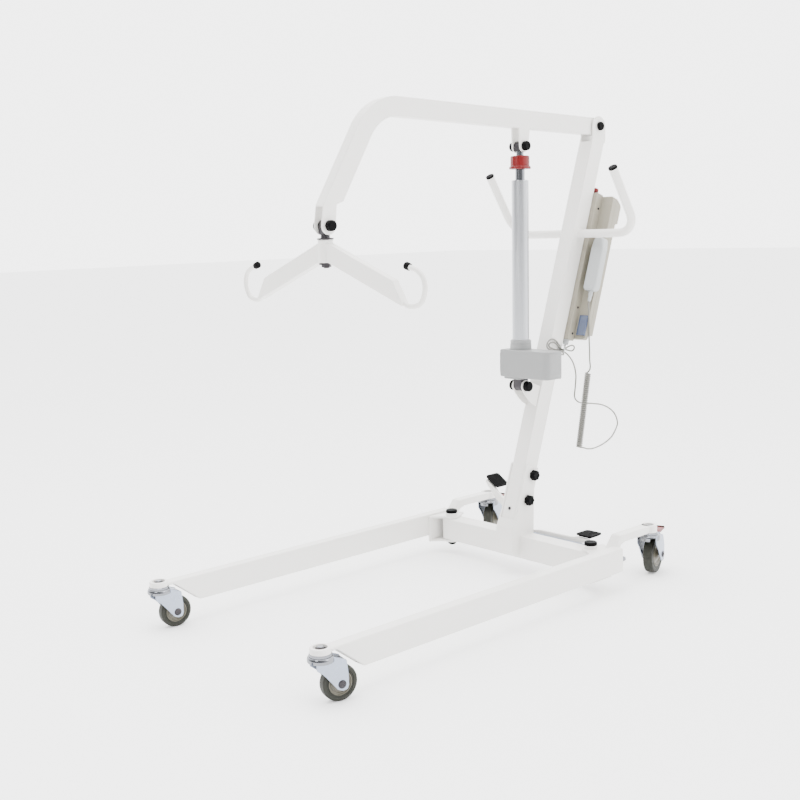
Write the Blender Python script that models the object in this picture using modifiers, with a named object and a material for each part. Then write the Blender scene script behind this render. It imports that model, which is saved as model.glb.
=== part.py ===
"""Mobile patient lift: steerable base with spreading legs, leaning mast, bent boom raised by an
electric actuator, and a spreader bar with two hooks. Metres, +Z up, +Y to the rear, and +X is the
side of the leg that the pressed pedal closes. The origin is on the floor at the middle of the lift."""

import math

import bmesh
import bpy
import numpy as np
from mathutils import Matrix, Vector

# Overall layout, in the lift's own frame: y = 0 on the line of the leg pivots, floor at z = 0
PIVOT_LINE_Y = 0.278
GAP = 0.0003
ROUND = 12

# Legs
LEG_X = 0.2999
LEG_WIDTH = 0.030
LEG_TOP_Z = 0.111
LEG_BOTTOM_Z = 0.051
LEG_WALL = 0.0025
LEG_REAR_Y = 0.040
LEG_FRONT_TOP_Y = -0.868
LEG_FRONT_BOTTOM_Y = -0.799
LEG_PIVOT_X = 0.2452
LEG_PIVOT_BOLT_RADIUS = 0.008
CLEVIS_PLATE = 0.006
CLEVIS_NOSE_RADIUS = 0.022
CLEVIS_FRONT_Y = -0.053
CLEVIS_REAR_Y = 0.030
LUG_REACH = 0.040
LUG_ANGLE = math.radians(6.25)
LUG_RADIUS = 0.0085
LUG_PIN_RADIUS = 0.003
PIVOT_CAP_RADIUS = 0.016
PIVOT_CAP_HEIGHT = 0.0085
PIVOT_BOSS_RADIUS = 0.0165
PIVOT_BOSS_TOP_Z = 0.1142
ARM_X = 0.2815
ARM_WIDTH = 0.030
ARM_TOP_Z = 0.1357
ARM_BOTTOM_Z = 0.1167

# Crossbar and mast socket
BAR_FRONT_Y = -0.020
BAR_REAR_Y = 0.030
BAR_BOTTOM_Z = 0.040
BAR_TOP_Z = 0.100
BAR_END_X = 0.262
BAR_WALL = 0.003
SOCKET_HALF_WIDTH = 0.0285
SOCKET_FRONT_Y = -0.050
SOCKET_BOTTOM_Z = 0.053
SOCKET_LIP_Z = 0.148
SOCKET_WALL = 0.003
SOCKET_TOP_S = 0.294
SOCKET_CLEARANCE = 0.0005

# Casters, in their own frames: the swivel axis is Z and the wheel trails along +Y
FRONT_WHEEL_RADIUS = 0.0375
FRONT_TREAD = 0.024
FRONT_TRAIL = 0.0358
FRONT_CASTER_X = 0.3022
FRONT_CASTER_Y = -0.8989
FRONT_MOUNT_Z = 0.104
FRONT_BOSS_TOP_Z = 0.1156
FRONT_BOSS_RADIUS = 0.0215
REAR_WHEEL_RADIUS = 0.050
REAR_TREAD = 0.028
REAR_TRAIL = 0.036
REAR_CASTER_X = 0.2833
REAR_CASTER_Y = 0.1895
REAR_MOUNT_Z = ARM_BOTTOM_Z
REAR_BOSS_RADIUS = 0.0205
AXLE_RADIUS = 0.004
FORK_SHEET = 0.0025
FRONT_WHEEL_CLEARANCE = 0.003
REAR_WHEEL_CLEARANCE = 0.0095
CROWN_REACH = 0.0115
FRONT_SKIRT_REACH = 0.0170
REAR_SKIRT_REACH = 0.0200
FRONT_CROWN_RADIUS = 0.0272
REAR_CROWN_RADIUS = 0.0295
CHEEK_FRONT_Y = -0.0165
FRONT_CHEEK_WAIST = (-0.0030, 0.0645)
REAR_CHEEK_WAIST = (0.0005, 0.0700)
CHEEK_BACK = 0.0145
FRONT_FORK_CORNER = (0.0475, 0.0855)
REAR_FORK_CORNER = (0.0400, 0.1015)
STEM_REACH = 0.0125
BRAKE_HINGE = (0.0265, 0.1070)
BRAKE_EAR_X = 0.0175
BRAKE_PIN_RADIUS = 0.002
STEM_RADIUS = 0.0062
RACE_RADIUS = 0.0230
RACE_HEIGHT = 0.005
FRONT_BOSS_FLOOR = 0.0055
REAR_BOSS_FLOOR = 0.009
WHEEL_SIDES = 16
PIN_SIDES = 10
FRONT_HEADINGS = {"left": 83.3, "right": 77.1}
REAR_HEADINGS = {"left": 108.0, "right": 108.0}

# Mast, in its own frame: t to the rear, s up along it from the floor
MAST_LEAN = math.radians(18.8)
MAST_ORIGIN_Y = -0.0594
MAST_WIDTH = 0.044
MAST_DEPTH = 0.050
MAST_WALL = 0.0035
MAST_FOOT_S = 0.1215
MAST_FRONT_TOP_S = 1.177
MAST_REAR_TOP_S = 1.190
MAST_BOLTS = ((0.006, 0.2715), (0.005, 0.2045))
MAST_BOLT_RADIUS = 0.006
KNOB_RADIUS = 0.014
KNOB_HEIGHT = 0.0140

# Boom, in its own frame: v to the rear along it from its pivot, w up
BOOM_PIVOT = (0.327, 1.161)
BOOM_SLOPE = math.radians(1.5)
BOOM_WIDTH = 0.030
BOOM_HEIGHT = 0.045
BOOM_WALL = 0.003
BOOM_CORNER = 0.786
BOOM_BEND = math.radians(60.0)
BOOM_BEND_RADIUS = 0.120
BOOM_PIN_RADIUS = 0.008
BOOM_CAP_RADIUS = 0.0115
HEAD_RADIUS = 0.027
SWING_PIN = (-0.607, 0.916)
SWING_PIN_RADIUS = 0.005
SWING_CAP_RADIUS = 0.012
SWING_CAP_X = 0.030
TAB_RADIUS = 0.020
TAB_FRONT_W = -0.224
TAB_REAR_W = -0.2165
EAR_INNER_X = 0.0110
HEAD_INNER_X = MAST_WIDTH / 2 - MAST_WALL

# Actuator
ACTUATOR_BOTTOM = (0.0235, 0.4911)
ACTUATOR_TOP = (0.0319, 1.1023)
ACTUATOR_PIN_RADIUS = 0.005
TOP_CAP_RADIUS = 0.0118
TOP_CAP_X = 0.0285
BOTTOM_CAP_RADIUS = 0.0135
BOTTOM_CAP_X = 0.0318
BRACKET_INNER_X = 0.0140
BRACKET_OUTER_X = 0.0180
TUBE_RADIUS = 0.0215
TUBE_BORE = 0.0140
TUBE_TOP_H = 0.527
COLLAR_RADIUS = 0.027
COLLAR_TOP_H = 0.121
ROD_RADIUS = 0.012
HOUSING_LOW_H = 0.0245
HOUSING_HIGH_H = 0.096
HOUSING_LEFT_X = -0.047
HOUSING_RIGHT_X = 0.1205
HOUSING_BULGE = 0.0045
HOUSING_FRONT = -0.0335
HOUSING_REAR = 0.0280
HOUSING_STEP_H = 0.0195
HOUSING_STEP_XS = (-0.035, 0.020)
INLET_PLACE = (0.0360, 0.0730)
INLET_WIDTH = 0.0056
INLET_RISE = 0.0058
INLET_DEPTH = 0.0095
INLET_CORD_DEPTH = 0.0015
SAFETY_TOP_H = 0.5875
SAFETY_BOTTOM_H = 0.5535

# Push handle
HANDLE_RADIUS = 0.011
HANDLE_BAR_T = 0.003
HANDLE_BAR_S = 0.928
HANDLE_X = 0.2078
HANDLE_END = (0.142, 1.0365)
HANDLE_BEND_RADIUS = 0.060

# Control box and battery, in the mast's frame
BOX_HALF_WIDTH = 0.035
BOX_BACK_T = 0.0492
BOX_BOTTOM_S = 0.645
BOX_TOP_S = 1.050
TRAY_HALF_WIDTH = 0.0720
TRAY_BACK_T = 0.0620
BATTERY_BACK_T = 0.0880
BATTERY_GRIP_T = 0.1020
GRIP_BOTTOM_S = 0.984
BATTERY_BOTTOM_S = 0.668
BATTERY_TOP_S = 1.043
STOP_PLACE = (0.012, 0.0371)
STOP_STEM_RADIUS = 0.0080
STOP_CLEARANCE = 0.0008

# Pendant, in the mast's frame: it hangs against the tray
PENDANT_XS = (0.0500, 0.0890)
PENDANT_TS = (0.0240, BOX_BACK_T - GAP)
PENDANT_BOTTOM_S = 0.780
PENDANT_TOP_S = 0.925
RELIEF_X = 0.0710
RELIEF_T = 0.0365
RELIEF_BOTTOM_S = 0.752
BUTTON_X = 0.0805
BUTTON_LEVELS = {"up": 0.885, "down": 0.855}

# Sockets under the control box: place across and behind the mast, and how far they reach down
PLUG_T = 0.038
PLUG_XS = {"pendant": 0.020, "motor": -0.002}
PLUG_BOTTOM_S = 0.631

# Cords: diameter, the curly stretch's axis, outer diameter, turns and points a turn
CORD = 0.0042
COIL_TOP = (0.0750, 0.2065, 0.5110)
COIL_BOTTOM = (0.0750, 0.1675, 0.3150)
COIL_DIAMETER = 0.0178
COIL_TURNS = 37.75
COIL_POINTS = 8
COIL_LEAD = 0.010
CORD_SPACING = 3.0 * CORD

# Spreader bar
SPREADER_TOP_Z = 0.886
SPREADER_BOTTOM_Z = 0.836
SLEEVE_RADIUS = 0.017
ARM_DROP = math.radians(20.5)
ARM_HEIGHT = 0.040
ARM_DEPTH = 0.020
HOOK_RADIUS = 0.0055
HOOK_TIP_RADIUS = 0.0082

# Pedal linkage behind the crossbar
ROCKER_Z = 0.080
ROCKER_FRONT_Y = 0.046
ROCKER_REAR_Y = 0.054
ROCKER_SWING = math.radians(33.0)
ROCKER_PIN_RADIUS = 0.005
CRANK_RADIUS = LUG_REACH * math.sin(LUG_ANGLE) / math.sin(ROCKER_SWING / 2)
CRANK_PIN_RADIUS = 0.003
ROD_EYE_CLEARANCE = 0.0014
PAD_SIZE = 0.050
PAD_THICKNESS = 0.009
PAD_CORNER = 0.0055
PAD_X = 0.184
PAD_Y = 0.070
PAD_SEAT_Z = 0.1105

WHITE = "E9E8E4"
BLACK = "17171A"
ZINC = "B9BEC6"
CHROME = "D5D7DA"
TYRE = "6E6E6A"
HUB = "B9B3A3"
ALUMINIUM = "C9CBCE"
MOTOR_GREY = "B4B5B4"
BOX_BEIGE = "C9C5B9"
PENDANT_GREY = "D3D6D8"
CORD_GREY = "C4C3BE"
RED = "B4232B"
DARK_STEEL = "3A3B40"


def make_collection(name):
    collection = bpy.data.collections.new(name)
    bpy.context.scene.collection.children.link(collection)
    return collection


def linear(hex_colour):
    values = [int(hex_colour[i:i + 2], 16) / 255 for i in (0, 2, 4)]
    return [v / 12.92 if v <= 0.04045 else ((v + 0.055) / 1.055) ** 2.4 for v in values] + [1.0]


def material(name, hex_colour, roughness, metallic=0.0):
    made = bpy.data.materials.new(name)
    made.use_nodes = True
    shader = made.node_tree.nodes["Principled BSDF"]
    shader.inputs["Base Color"].default_value = linear(hex_colour)
    shader.inputs["Roughness"].default_value = roughness
    shader.inputs["Metallic"].default_value = metallic
    made.diffuse_color = linear(hex_colour)
    return made


# Mesh building blocks, all in the frame of the piece they belong to

def finished(bm, name):
    bmesh.ops.recalc_face_normals(bm, faces=bm.faces)
    mesh = bpy.data.meshes.new(name)
    bm.to_mesh(mesh)
    bm.free()
    return mesh


def box(xs, ys, zs, bevel=0.0):
    bm = bmesh.new()
    size = Vector((xs[1] - xs[0], ys[1] - ys[0], zs[1] - zs[0]))
    centre = Vector((xs[0] + xs[1], ys[0] + ys[1], zs[0] + zs[1])) / 2
    bmesh.ops.create_cube(bm, size=1.0, matrix=Matrix.Translation(centre) @ Matrix.Diagonal(size.to_4d()))
    if bevel:
        bmesh.ops.bevel(bm, geom=bm.edges[:], offset=bevel, segments=1, affect="EDGES", profile=0.5)
    return finished(bm, "box")


def cylinder(start, end, radius, end_radius=None, sides=ROUND, bevel=0.0):
    start, end = Vector(start), Vector(end)
    axis = end - start
    bm = bmesh.new()
    place = Matrix.Translation((start + end) / 2) @ axis.to_track_quat("Z", "Y").to_matrix().to_4x4()
    bmesh.ops.create_cone(bm, cap_ends=True, segments=sides, radius1=radius,
                          radius2=radius if end_radius is None else end_radius,
                          depth=axis.length, matrix=place)
    if bevel:
        rims = [e for e in bm.edges if any(len(f.verts) > 4 for f in e.link_faces)]
        bmesh.ops.bevel(bm, geom=rims, offset=bevel, segments=1, affect="EDGES", profile=0.5)
    return finished(bm, "cylinder")


def evaluated_mesh(obj, weld=0.00001, flatten=False):
    """The mesh that an object's curve or modifiers give, with loose caps welded, and the object removed."""
    bpy.context.view_layer.update()
    depsgraph = bpy.context.evaluated_depsgraph_get()
    mesh = bpy.data.meshes.new_from_object(obj.evaluated_get(depsgraph))
    mesh.transform(obj.matrix_world)
    bm = bmesh.new()
    bm.from_mesh(mesh)
    bmesh.ops.remove_doubles(bm, verts=bm.verts, dist=weld)
    if flatten:
        bmesh.ops.dissolve_limit(bm, angle_limit=0.001, verts=bm.verts, edges=bm.edges)
    bmesh.ops.recalc_face_normals(bm, faces=bm.faces)
    bm.to_mesh(mesh)
    bm.free()
    bpy.data.objects.remove(obj)
    return mesh


AXIS_PLANES = {
    "x": Matrix(((0, 0, 1, 0), (1, 0, 0, 0), (0, 1, 0, 0), (0, 0, 0, 1))),
    "y": Matrix(((1, 0, 0, 0), (0, 0, -1, 0), (0, 1, 0, 0), (0, 0, 0, 1))),
    "z": Matrix.Identity(4),
}


def plate(outline, axis, low, high):
    """A flat outline extruded along one axis; its points are (y, z), (x, z) or (x, y)."""
    curve = bpy.data.curves.new("outline", "CURVE")
    curve.dimensions = "2D"
    curve.fill_mode = "BOTH"
    curve.extrude = (high - low) / 2
    spline = curve.splines.new("POLY")
    spline.points.add(len(outline) - 1)
    for point, (a, b) in zip(spline.points, outline):
        point.co = (a, b, 0.0, 1.0)
    spline.use_cyclic_u = True
    obj = bpy.data.objects.new("outline", curve)
    bpy.context.scene.collection.objects.link(obj)
    mesh = evaluated_mesh(obj, flatten=True)
    middle = (low + high) / 2
    mesh.transform(Matrix.Translation((0, 0, middle)) if axis == "z" else Matrix.Identity(4))
    mesh.transform(AXIS_PLANES[axis])
    shift = {"x": (middle, 0, 0), "y": (0, middle, 0), "z": (0, 0, 0)}[axis]
    mesh.transform(Matrix.Translation(shift))
    return mesh


def rounded(corners, radius, steps=3):
    """The outline with each corner replaced by an arc; radius is one value or one for each corner."""
    radii = radius if isinstance(radius, (list, tuple)) else [radius] * len(corners)
    points = []
    count = len(corners)
    for i, corner in enumerate(corners):
        here = Vector(corner)
        back = (Vector(corners[i - 1]) - here)
        ahead = (Vector(corners[(i + 1) % count]) - here)
        if radii[i] <= 0:
            points.append(tuple(here))
            continue
        back_dir, ahead_dir = back.normalized(), ahead.normalized()
        half = back_dir.angle(ahead_dir) / 2
        reach = min(radii[i] / math.tan(half), back.length * 0.49, ahead.length * 0.49)
        fillet = reach * math.tan(half)
        centre = here + (back_dir + ahead_dir).normalized() * fillet / math.sin(half)
        first, last = here + back_dir * reach - centre, here + ahead_dir * reach - centre
        turn = first.angle_signed(last)
        for k in range(steps + 1):
            arm = first.copy()
            arm.rotate(Matrix.Rotation(-turn * k / steps, 2))
            points.append(tuple(centre + arm))
    return points


def arc(centre, radius, start_deg, end_deg, steps=8):
    angles = np.radians(np.linspace(start_deg, end_deg, steps + 1))
    return [(centre[0] + radius * math.cos(a), centre[1] + radius * math.sin(a)) for a in angles]


def filleted_path(points, radius, steps=6):
    """A route of straight runs with an arc at each inner corner."""
    path = [Vector(points[0])]
    for before, corner, after in zip(points, points[1:], points[2:]):
        before, corner, after = Vector(before), Vector(corner), Vector(after)
        back, ahead = (before - corner).normalized(), (after - corner).normalized()
        half = back.angle(ahead) / 2
        reach = radius / math.tan(half)
        centre = corner + (back + ahead).normalized() * radius / math.sin(half)
        first, last = corner + back * reach - centre, corner + ahead * reach - centre
        for k in range(steps + 1):
            path.append(centre + first.normalized().slerp(last.normalized(), k / steps) * radius)
    path.append(Vector(points[-1]))
    return path


def smooth_route(points, spacing):
    """Points at an even spacing along a smooth curve through the given ones."""
    knots = [Vector(p) for p in points]
    ends = [knots[0] * 2 - knots[1]] + knots + [knots[-1] * 2 - knots[-2]]
    dense = []
    for a, b, c, d in zip(ends, ends[1:], ends[2:], ends[3:]):
        for k in range(16):
            u = k / 16
            dense.append(0.5 * ((2 * b) + (c - a) * u + (2 * a - 5 * b + 4 * c - d) * u * u
                                + (3 * b - a - 3 * c + d) * u ** 3))
    dense.append(knots[-1])
    lengths = np.cumsum([0.0] + [(q - p).length for p, q in zip(dense, dense[1:])])
    count = max(3, round(lengths[-1] / spacing) + 1)
    coords = np.array([tuple(p) for p in dense])
    wanted = np.linspace(0, lengths[-1], count)
    return [Vector([np.interp(w, lengths, coords[:, i]) for i in range(3)]) for w in wanted]


def tube(points, radius, resolution=4):
    curve = bpy.data.curves.new("tube", "CURVE")
    curve.dimensions = "3D"
    curve.bevel_depth = radius
    curve.bevel_resolution = resolution
    curve.use_fill_caps = True
    spline = curve.splines.new("POLY")
    spline.points.add(len(points) - 1)
    for point, place in zip(spline.points, points):
        point.co = (*place, 1.0)
    obj = bpy.data.objects.new("tube", curve)
    bpy.context.scene.collection.objects.link(obj)
    return evaluated_mesh(obj)


def turned(profile, sides=ROUND):
    """A closed profile of (radius, height) turned about Z; it runs down its outer side."""
    mesh = bpy.data.meshes.new("profile")
    mesh.from_pydata([(r, 0.0, h) for r, h in profile], [(i, i + 1) for i in range(len(profile) - 1)], [])
    obj = bpy.data.objects.new("profile", mesh)
    bpy.context.scene.collection.objects.link(obj)
    screw = obj.modifiers.new("turn", "SCREW")
    screw.steps = sides
    screw.render_steps = sides
    screw.use_merge_vertices = True
    screw.merge_threshold = 0.00001
    return evaluated_mesh(obj)


def ring(outer, inner, low, high, sides=ROUND):
    """A washer or sleeve about Z."""
    return turned([(inner, high), (outer, high), (outer, low), (inner, low), (inner, high)], sides)


# Placing pieces

class Lift:
    """The collections, materials and frames that the pieces share."""

    def __init__(self):
        self.parts = make_collection("patient_lift")
        self.cutters = make_collection("patient_lift_cutters")
        self.root = self.frame("lift_frame", (0, PIVOT_LINE_Y, 0))
        self.mast = self.frame("mast_frame", (0, MAST_ORIGIN_Y, 0), self.root, -MAST_LEAN)
        self.boom = self.frame("boom_frame", (0, *BOOM_PIVOT), self.root, -BOOM_SLOPE)
        lean = math.atan2(ACTUATOR_TOP[0] - ACTUATOR_BOTTOM[0], ACTUATOR_TOP[1] - ACTUATOR_BOTTOM[1])
        self.actuator = self.frame("actuator_frame", (0, *ACTUATOR_BOTTOM), self.root, -lean)
        self.paint = material("white_powder_coat", WHITE, 0.42)
        self.black = material("black_plastic", BLACK, 0.5)
        self.zinc = material("zinc_plate", ZINC, 0.32, 1.0)
        self.chrome = material("chrome", CHROME, 0.12, 1.0)
        self.steel = material("dark_steel", DARK_STEEL, 0.4, 0.8)
        self.tyre = material("grey_tyre", TYRE, 0.7)
        self.hub = material("beige_hub", HUB, 0.5)
        self.aluminium = material("anodised_aluminium", ALUMINIUM, 0.3, 1.0)
        self.motor = material("motor_grey", MOTOR_GREY, 0.5)
        self.beige = material("box_beige", BOX_BEIGE, 0.5)
        self.pendant = material("pendant_grey", PENDANT_GREY, 0.45)
        self.cord = material("cord_grey", CORD_GREY, 0.5)
        self.red = material("red_plastic", RED, 0.4)

    def frame(self, name, place, parent=None, turn_x=0.0, turn_z=0.0):
        empty = bpy.data.objects.new(name, None)
        empty.parent = parent
        empty.location = place
        empty.rotation_euler = (turn_x, 0.0, turn_z)
        self.parts.objects.link(empty)
        return empty

    def piece(self, name, mesh, look, parent=None, origin=(0, 0, 0)):
        """A named part built in its parent's frame, with its origin moved to a point of that frame."""
        mesh.transform(Matrix.Translation(-Vector(origin)))
        mesh.materials.clear()
        mesh.materials.append(look)
        mesh.shade_smooth()
        mesh.set_sharp_from_angle(angle=math.radians(35))
        obj = bpy.data.objects.new(name, mesh)
        obj.parent = parent or self.root
        obj.location = origin
        self.parts.objects.link(obj)
        return obj

    def change(self, piece, mesh, operation):
        """A Boolean on a piece with a mesh given in the piece's parent's frame."""
        mesh.transform(Matrix.Translation(-piece.location))
        mesh.materials.clear()
        mesh.materials.append(piece.data.materials[0])
        tool = bpy.data.objects.new(piece.name + "_tool", mesh)
        tool.parent = piece
        tool.hide_render = True
        tool.display_type = "WIRE"
        self.cutters.objects.link(tool)
        boolean = piece.modifiers.new(operation.lower(), "BOOLEAN")
        boolean.operation = operation
        boolean.solver = "EXACT"
        boolean.object = tool

    def join(self, piece, *meshes):
        for mesh in meshes:
            self.change(piece, mesh, "UNION")

    def cut(self, piece, *meshes):
        for mesh in meshes:
            self.change(piece, mesh, "DIFFERENCE")


SIDES = {"left": -1, "right": 1}


def to_mast(y, z):
    """A point of the lift's (y, z) plane as (t, s) in the mast's frame."""
    dy = y - MAST_ORIGIN_Y
    return (dy * math.cos(MAST_LEAN) - z * math.sin(MAST_LEAN),
            dy * math.sin(MAST_LEAN) + z * math.cos(MAST_LEAN))


def from_mast(t, s):
    return (MAST_ORIGIN_Y + t * math.cos(MAST_LEAN) + s * math.sin(MAST_LEAN),
            s * math.cos(MAST_LEAN) - t * math.sin(MAST_LEAN))


def to_boom(y, z):
    dy, dz = y - BOOM_PIVOT[0], z - BOOM_PIVOT[1]
    return (dy * math.cos(BOOM_SLOPE) - dz * math.sin(BOOM_SLOPE),
            dy * math.sin(BOOM_SLOPE) + dz * math.cos(BOOM_SLOPE))


# Base

def mast_front_y(z):
    """Where the mast's front face passes a height."""
    return MAST_ORIGIN_Y + z * math.tan(MAST_LEAN) - MAST_DEPTH / 2 / math.cos(MAST_LEAN)


def base_frame(lift):
    """The crossbar with the socket that the mast stands in, and the stud of the pedal rocker."""
    bar = lift.piece("base_frame", box((-BAR_END_X, BAR_END_X), (BAR_FRONT_Y, BAR_REAR_Y),
                                       (BAR_BOTTOM_Z, BAR_TOP_Z), 0.003), lift.paint)
    front_top = from_mast(-MAST_DEPTH / 2, SOCKET_TOP_S)
    rear_top = from_mast(MAST_DEPTH / 2 - 0.002, SOCKET_TOP_S)
    front_low = from_mast(-MAST_DEPTH / 2, 0.165)
    rear_low = from_mast(MAST_DEPTH / 2 - 0.001, 0.235)
    inside_y = BAR_REAR_Y - 0.004
    cheek = [(SOCKET_FRONT_Y, SOCKET_BOTTOM_Z), (SOCKET_FRONT_Y, 0.122), front_low, front_top, rear_top,
             rear_low, (0.037, 0.185), (0.034, BAR_TOP_Z - 0.002), (inside_y, BAR_TOP_Z - 0.004),
             (inside_y, SOCKET_BOTTOM_Z)]
    outline = rounded(cheek, [0, 0.02, 0.02, 0.004, 0.004, 0.02, 0.02, 0, 0, 0])
    lift.join(bar, plate(outline, "x", -SOCKET_HALF_WIDTH, SOCKET_HALF_WIDTH))
    lip_y = mast_front_y(SOCKET_LIP_Z) - SOCKET_CLEARANCE
    inner_y = SOCKET_FRONT_Y + SOCKET_WALL
    lean_z = SOCKET_LIP_Z - (lip_y - inner_y) / math.tan(MAST_LEAN)
    well = [(inner_y, BAR_TOP_Z), (inner_y, lean_z), (lip_y, SOCKET_LIP_Z), (lip_y - 0.05, SOCKET_LIP_Z),
            (front_top[0] - 0.03, front_top[1] + 0.02), (rear_top[0] + 0.03, rear_top[1] + 0.02),
            (0.070, 0.2), (0.060, BAR_TOP_Z)]
    inner = MAST_WIDTH / 2 + SOCKET_CLEARANCE
    lift.cut(bar, plate(well, "x", -inner, inner))
    for x in (-1, 1):
        span = sorted((x * (SOCKET_HALF_WIDTH + 0.004), x * (BAR_END_X + 0.01)))
        lift.cut(bar, box(span, (BAR_FRONT_Y + BAR_WALL, BAR_REAR_Y - BAR_WALL),
                          (BAR_BOTTOM_Z + BAR_WALL, BAR_TOP_Z - BAR_WALL)))
        pivot = x * LEG_PIVOT_X
        lift.join(bar, cylinder((pivot, 0, BAR_BOTTOM_Z + 0.001), (pivot, 0, BAR_TOP_Z - 0.001), 0.014))
        lift.cut(bar, cylinder((pivot, 0, 0), (pivot, 0, 0.2), LEG_PIVOT_BOLT_RADIUS + GAP))
    for t, s in MAST_BOLTS:
        y, z = from_mast(t, s)
        lift.cut(bar, cylinder((-0.05, y, z), (0.05, y, z), MAST_BOLT_RADIUS + GAP))
    stud_y = BAR_REAR_Y - 0.006
    lift.join(bar, cylinder((0, stud_y, ROCKER_Z), (0, ROCKER_FRONT_Y - GAP, ROCKER_Z), 0.0065),
              cylinder((0, stud_y, ROCKER_Z), (0, ROCKER_REAR_Y + 0.006, ROCKER_Z), ROCKER_PIN_RADIUS))
    return bar


def pivot_bolts(lift):
    for side, sign in SIDES.items():
        x = sign * LEG_PIVOT_X
        top = PIVOT_BOSS_TOP_Z + GAP
        low = BAR_BOTTOM_Z - 2 * GAP - CLEVIS_PLATE
        bolt = lift.piece("leg_pivot_bolt_" + side,
                          cylinder((x, 0, low - 0.010), (x, 0, top + 0.002), LEG_PIVOT_BOLT_RADIUS),
                          lift.black)
        cap = cylinder((x, 0, top), (x, 0, top + PIVOT_CAP_HEIGHT), PIVOT_CAP_RADIUS, bevel=0.002)
        lift.join(bolt, cap, cylinder((x, 0, low - 0.008), (x, 0, low - GAP), 0.012, sides=6))


def clevis_outline(sign):
    """The bracket that grips the crossbar's end: a nose round the pivot, and the tie rod's lug behind it."""
    root = LEG_X - LEG_WIDTH / 2 + 0.001
    points = [(root, CLEVIS_FRONT_Y), (LEG_PIVOT_X + 0.006, -CLEVIS_NOSE_RADIUS)]
    points += arc((LEG_PIVOT_X, 0), CLEVIS_NOSE_RADIUS, 265, 175, 4)
    points += arc(lug_point(1), LUG_RADIUS, 180, 20, 4)
    points += [(root, CLEVIS_REAR_Y)]
    return [(sign * x, y) for x, y in points]


def lug_point(sign):
    return (sign * (LEG_PIVOT_X + LUG_REACH * math.sin(LUG_ANGLE)), LUG_REACH * math.cos(LUG_ANGLE))


def leg(lift, side):
    sign = SIDES[side]
    pivot = (sign * LEG_PIVOT_X, 0, 0)
    xs = sorted((sign * (LEG_X - LEG_WIDTH / 2), sign * (LEG_X + LEG_WIDTH / 2)))
    outline = rounded([(LEG_REAR_Y, LEG_BOTTOM_Z), (LEG_REAR_Y, LEG_TOP_Z),
                       (FRONT_CASTER_Y + 0.006, LEG_TOP_Z), (FRONT_CASTER_Y + 0.006, FRONT_MOUNT_Z),
                       (LEG_FRONT_TOP_Y, FRONT_MOUNT_Z), (LEG_FRONT_BOTTOM_Y, LEG_BOTTOM_Z)],
                      [0.003, 0.003, 0, 0, 0.004, 0.003], 2)
    tube_leg = lift.piece("leg_" + side, plate(outline, "x", *xs), lift.paint, origin=pivot)
    bore = [(LEG_REAR_Y - LEG_WALL, LEG_BOTTOM_Z + LEG_WALL), (LEG_REAR_Y - LEG_WALL, LEG_TOP_Z - LEG_WALL),
            (-0.840, LEG_TOP_Z - LEG_WALL), (-0.862, 0.1005), (-0.90, 0.08), (-0.90, LEG_BOTTOM_Z + LEG_WALL)]
    lift.cut(tube_leg, plate(bore, "x", xs[0] + LEG_WALL, xs[1] - LEG_WALL))
    front = (sign * FRONT_CASTER_X, FRONT_CASTER_Y)
    lift.join(tube_leg, cylinder((*front, FRONT_MOUNT_Z), (*front, FRONT_BOSS_TOP_Z), FRONT_BOSS_RADIUS,
                                 bevel=0.0015))
    boss = cylinder((*pivot[:2], BAR_TOP_Z + 0.003), (*pivot[:2], PIVOT_BOSS_TOP_Z), PIVOT_BOSS_RADIUS)
    lift.join(tube_leg, clevis(sign), rear_arm(sign), boss)
    for place, mount, floor, recess in ((front, FRONT_MOUNT_Z, FRONT_BOSS_FLOOR, 0.0145),
                                        ((sign * REAR_CASTER_X, REAR_CASTER_Y), REAR_MOUNT_Z, REAR_BOSS_FLOOR,
                                         0.0125)):
        lift.cut(tube_leg, cylinder((*place, mount - 0.01), (*place, 0.2), STEM_RADIUS + GAP),
                 cylinder((*place, mount + floor), (*place, 0.2), recess))
    lift.cut(tube_leg, cylinder((pivot[0], 0, 0), (pivot[0], 0, 0.2), LEG_PIVOT_BOLT_RADIUS + GAP))
    lug = lug_point(sign)
    lift.join(tube_leg, cylinder((*lug, BAR_BOTTOM_Z - 0.003), (*lug, BAR_TOP_Z + 0.003), LUG_PIN_RADIUS,
                                 sides=12))
    return tube_leg


def clevis(sign):
    """Top and bottom plates joined by a web, slotted for the crossbar."""
    low, top = BAR_BOTTOM_Z - GAP, BAR_TOP_Z + GAP
    block = plate(clevis_outline(sign), "z", low - CLEVIS_PLATE, top + CLEVIS_PLATE)
    web_x = LEG_X - LEG_WIDTH / 2 - CLEVIS_PLATE
    slot = box(sorted((sign * (web_x - 0.1), sign * web_x)), (-0.1, 0.1), (low, top))
    return combined("DIFFERENCE", block, slot)


def rear_arm(sign):
    inner_z = BAR_TOP_Z + 0.0015
    profile = rounded([(0.018, inner_z), (0.034, LEG_TOP_Z), (0.056, ARM_TOP_Z), (REAR_CASTER_Y, ARM_TOP_Z),
                       (REAR_CASTER_Y, ARM_BOTTOM_Z), (0.074, ARM_BOTTOM_Z), (0.055, 0.111), (0.050, 0.094),
                       (LEG_REAR_Y - 0.001, 0.088), (LEG_REAR_Y - 0.001, inner_z)],
                      [0, 0, 0.012, 0, 0, 0.012, 0.008, 0, 0, 0], 2)
    xs = sorted((sign * (ARM_X - ARM_WIDTH / 2), sign * (ARM_X + ARM_WIDTH / 2)))
    end = cylinder((sign * REAR_CASTER_X, REAR_CASTER_Y, ARM_BOTTOM_Z),
                   (sign * REAR_CASTER_X, REAR_CASTER_Y, ARM_TOP_Z), REAR_BOSS_RADIUS)
    return combined("UNION", plate(profile, "x", *xs), end)


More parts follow.
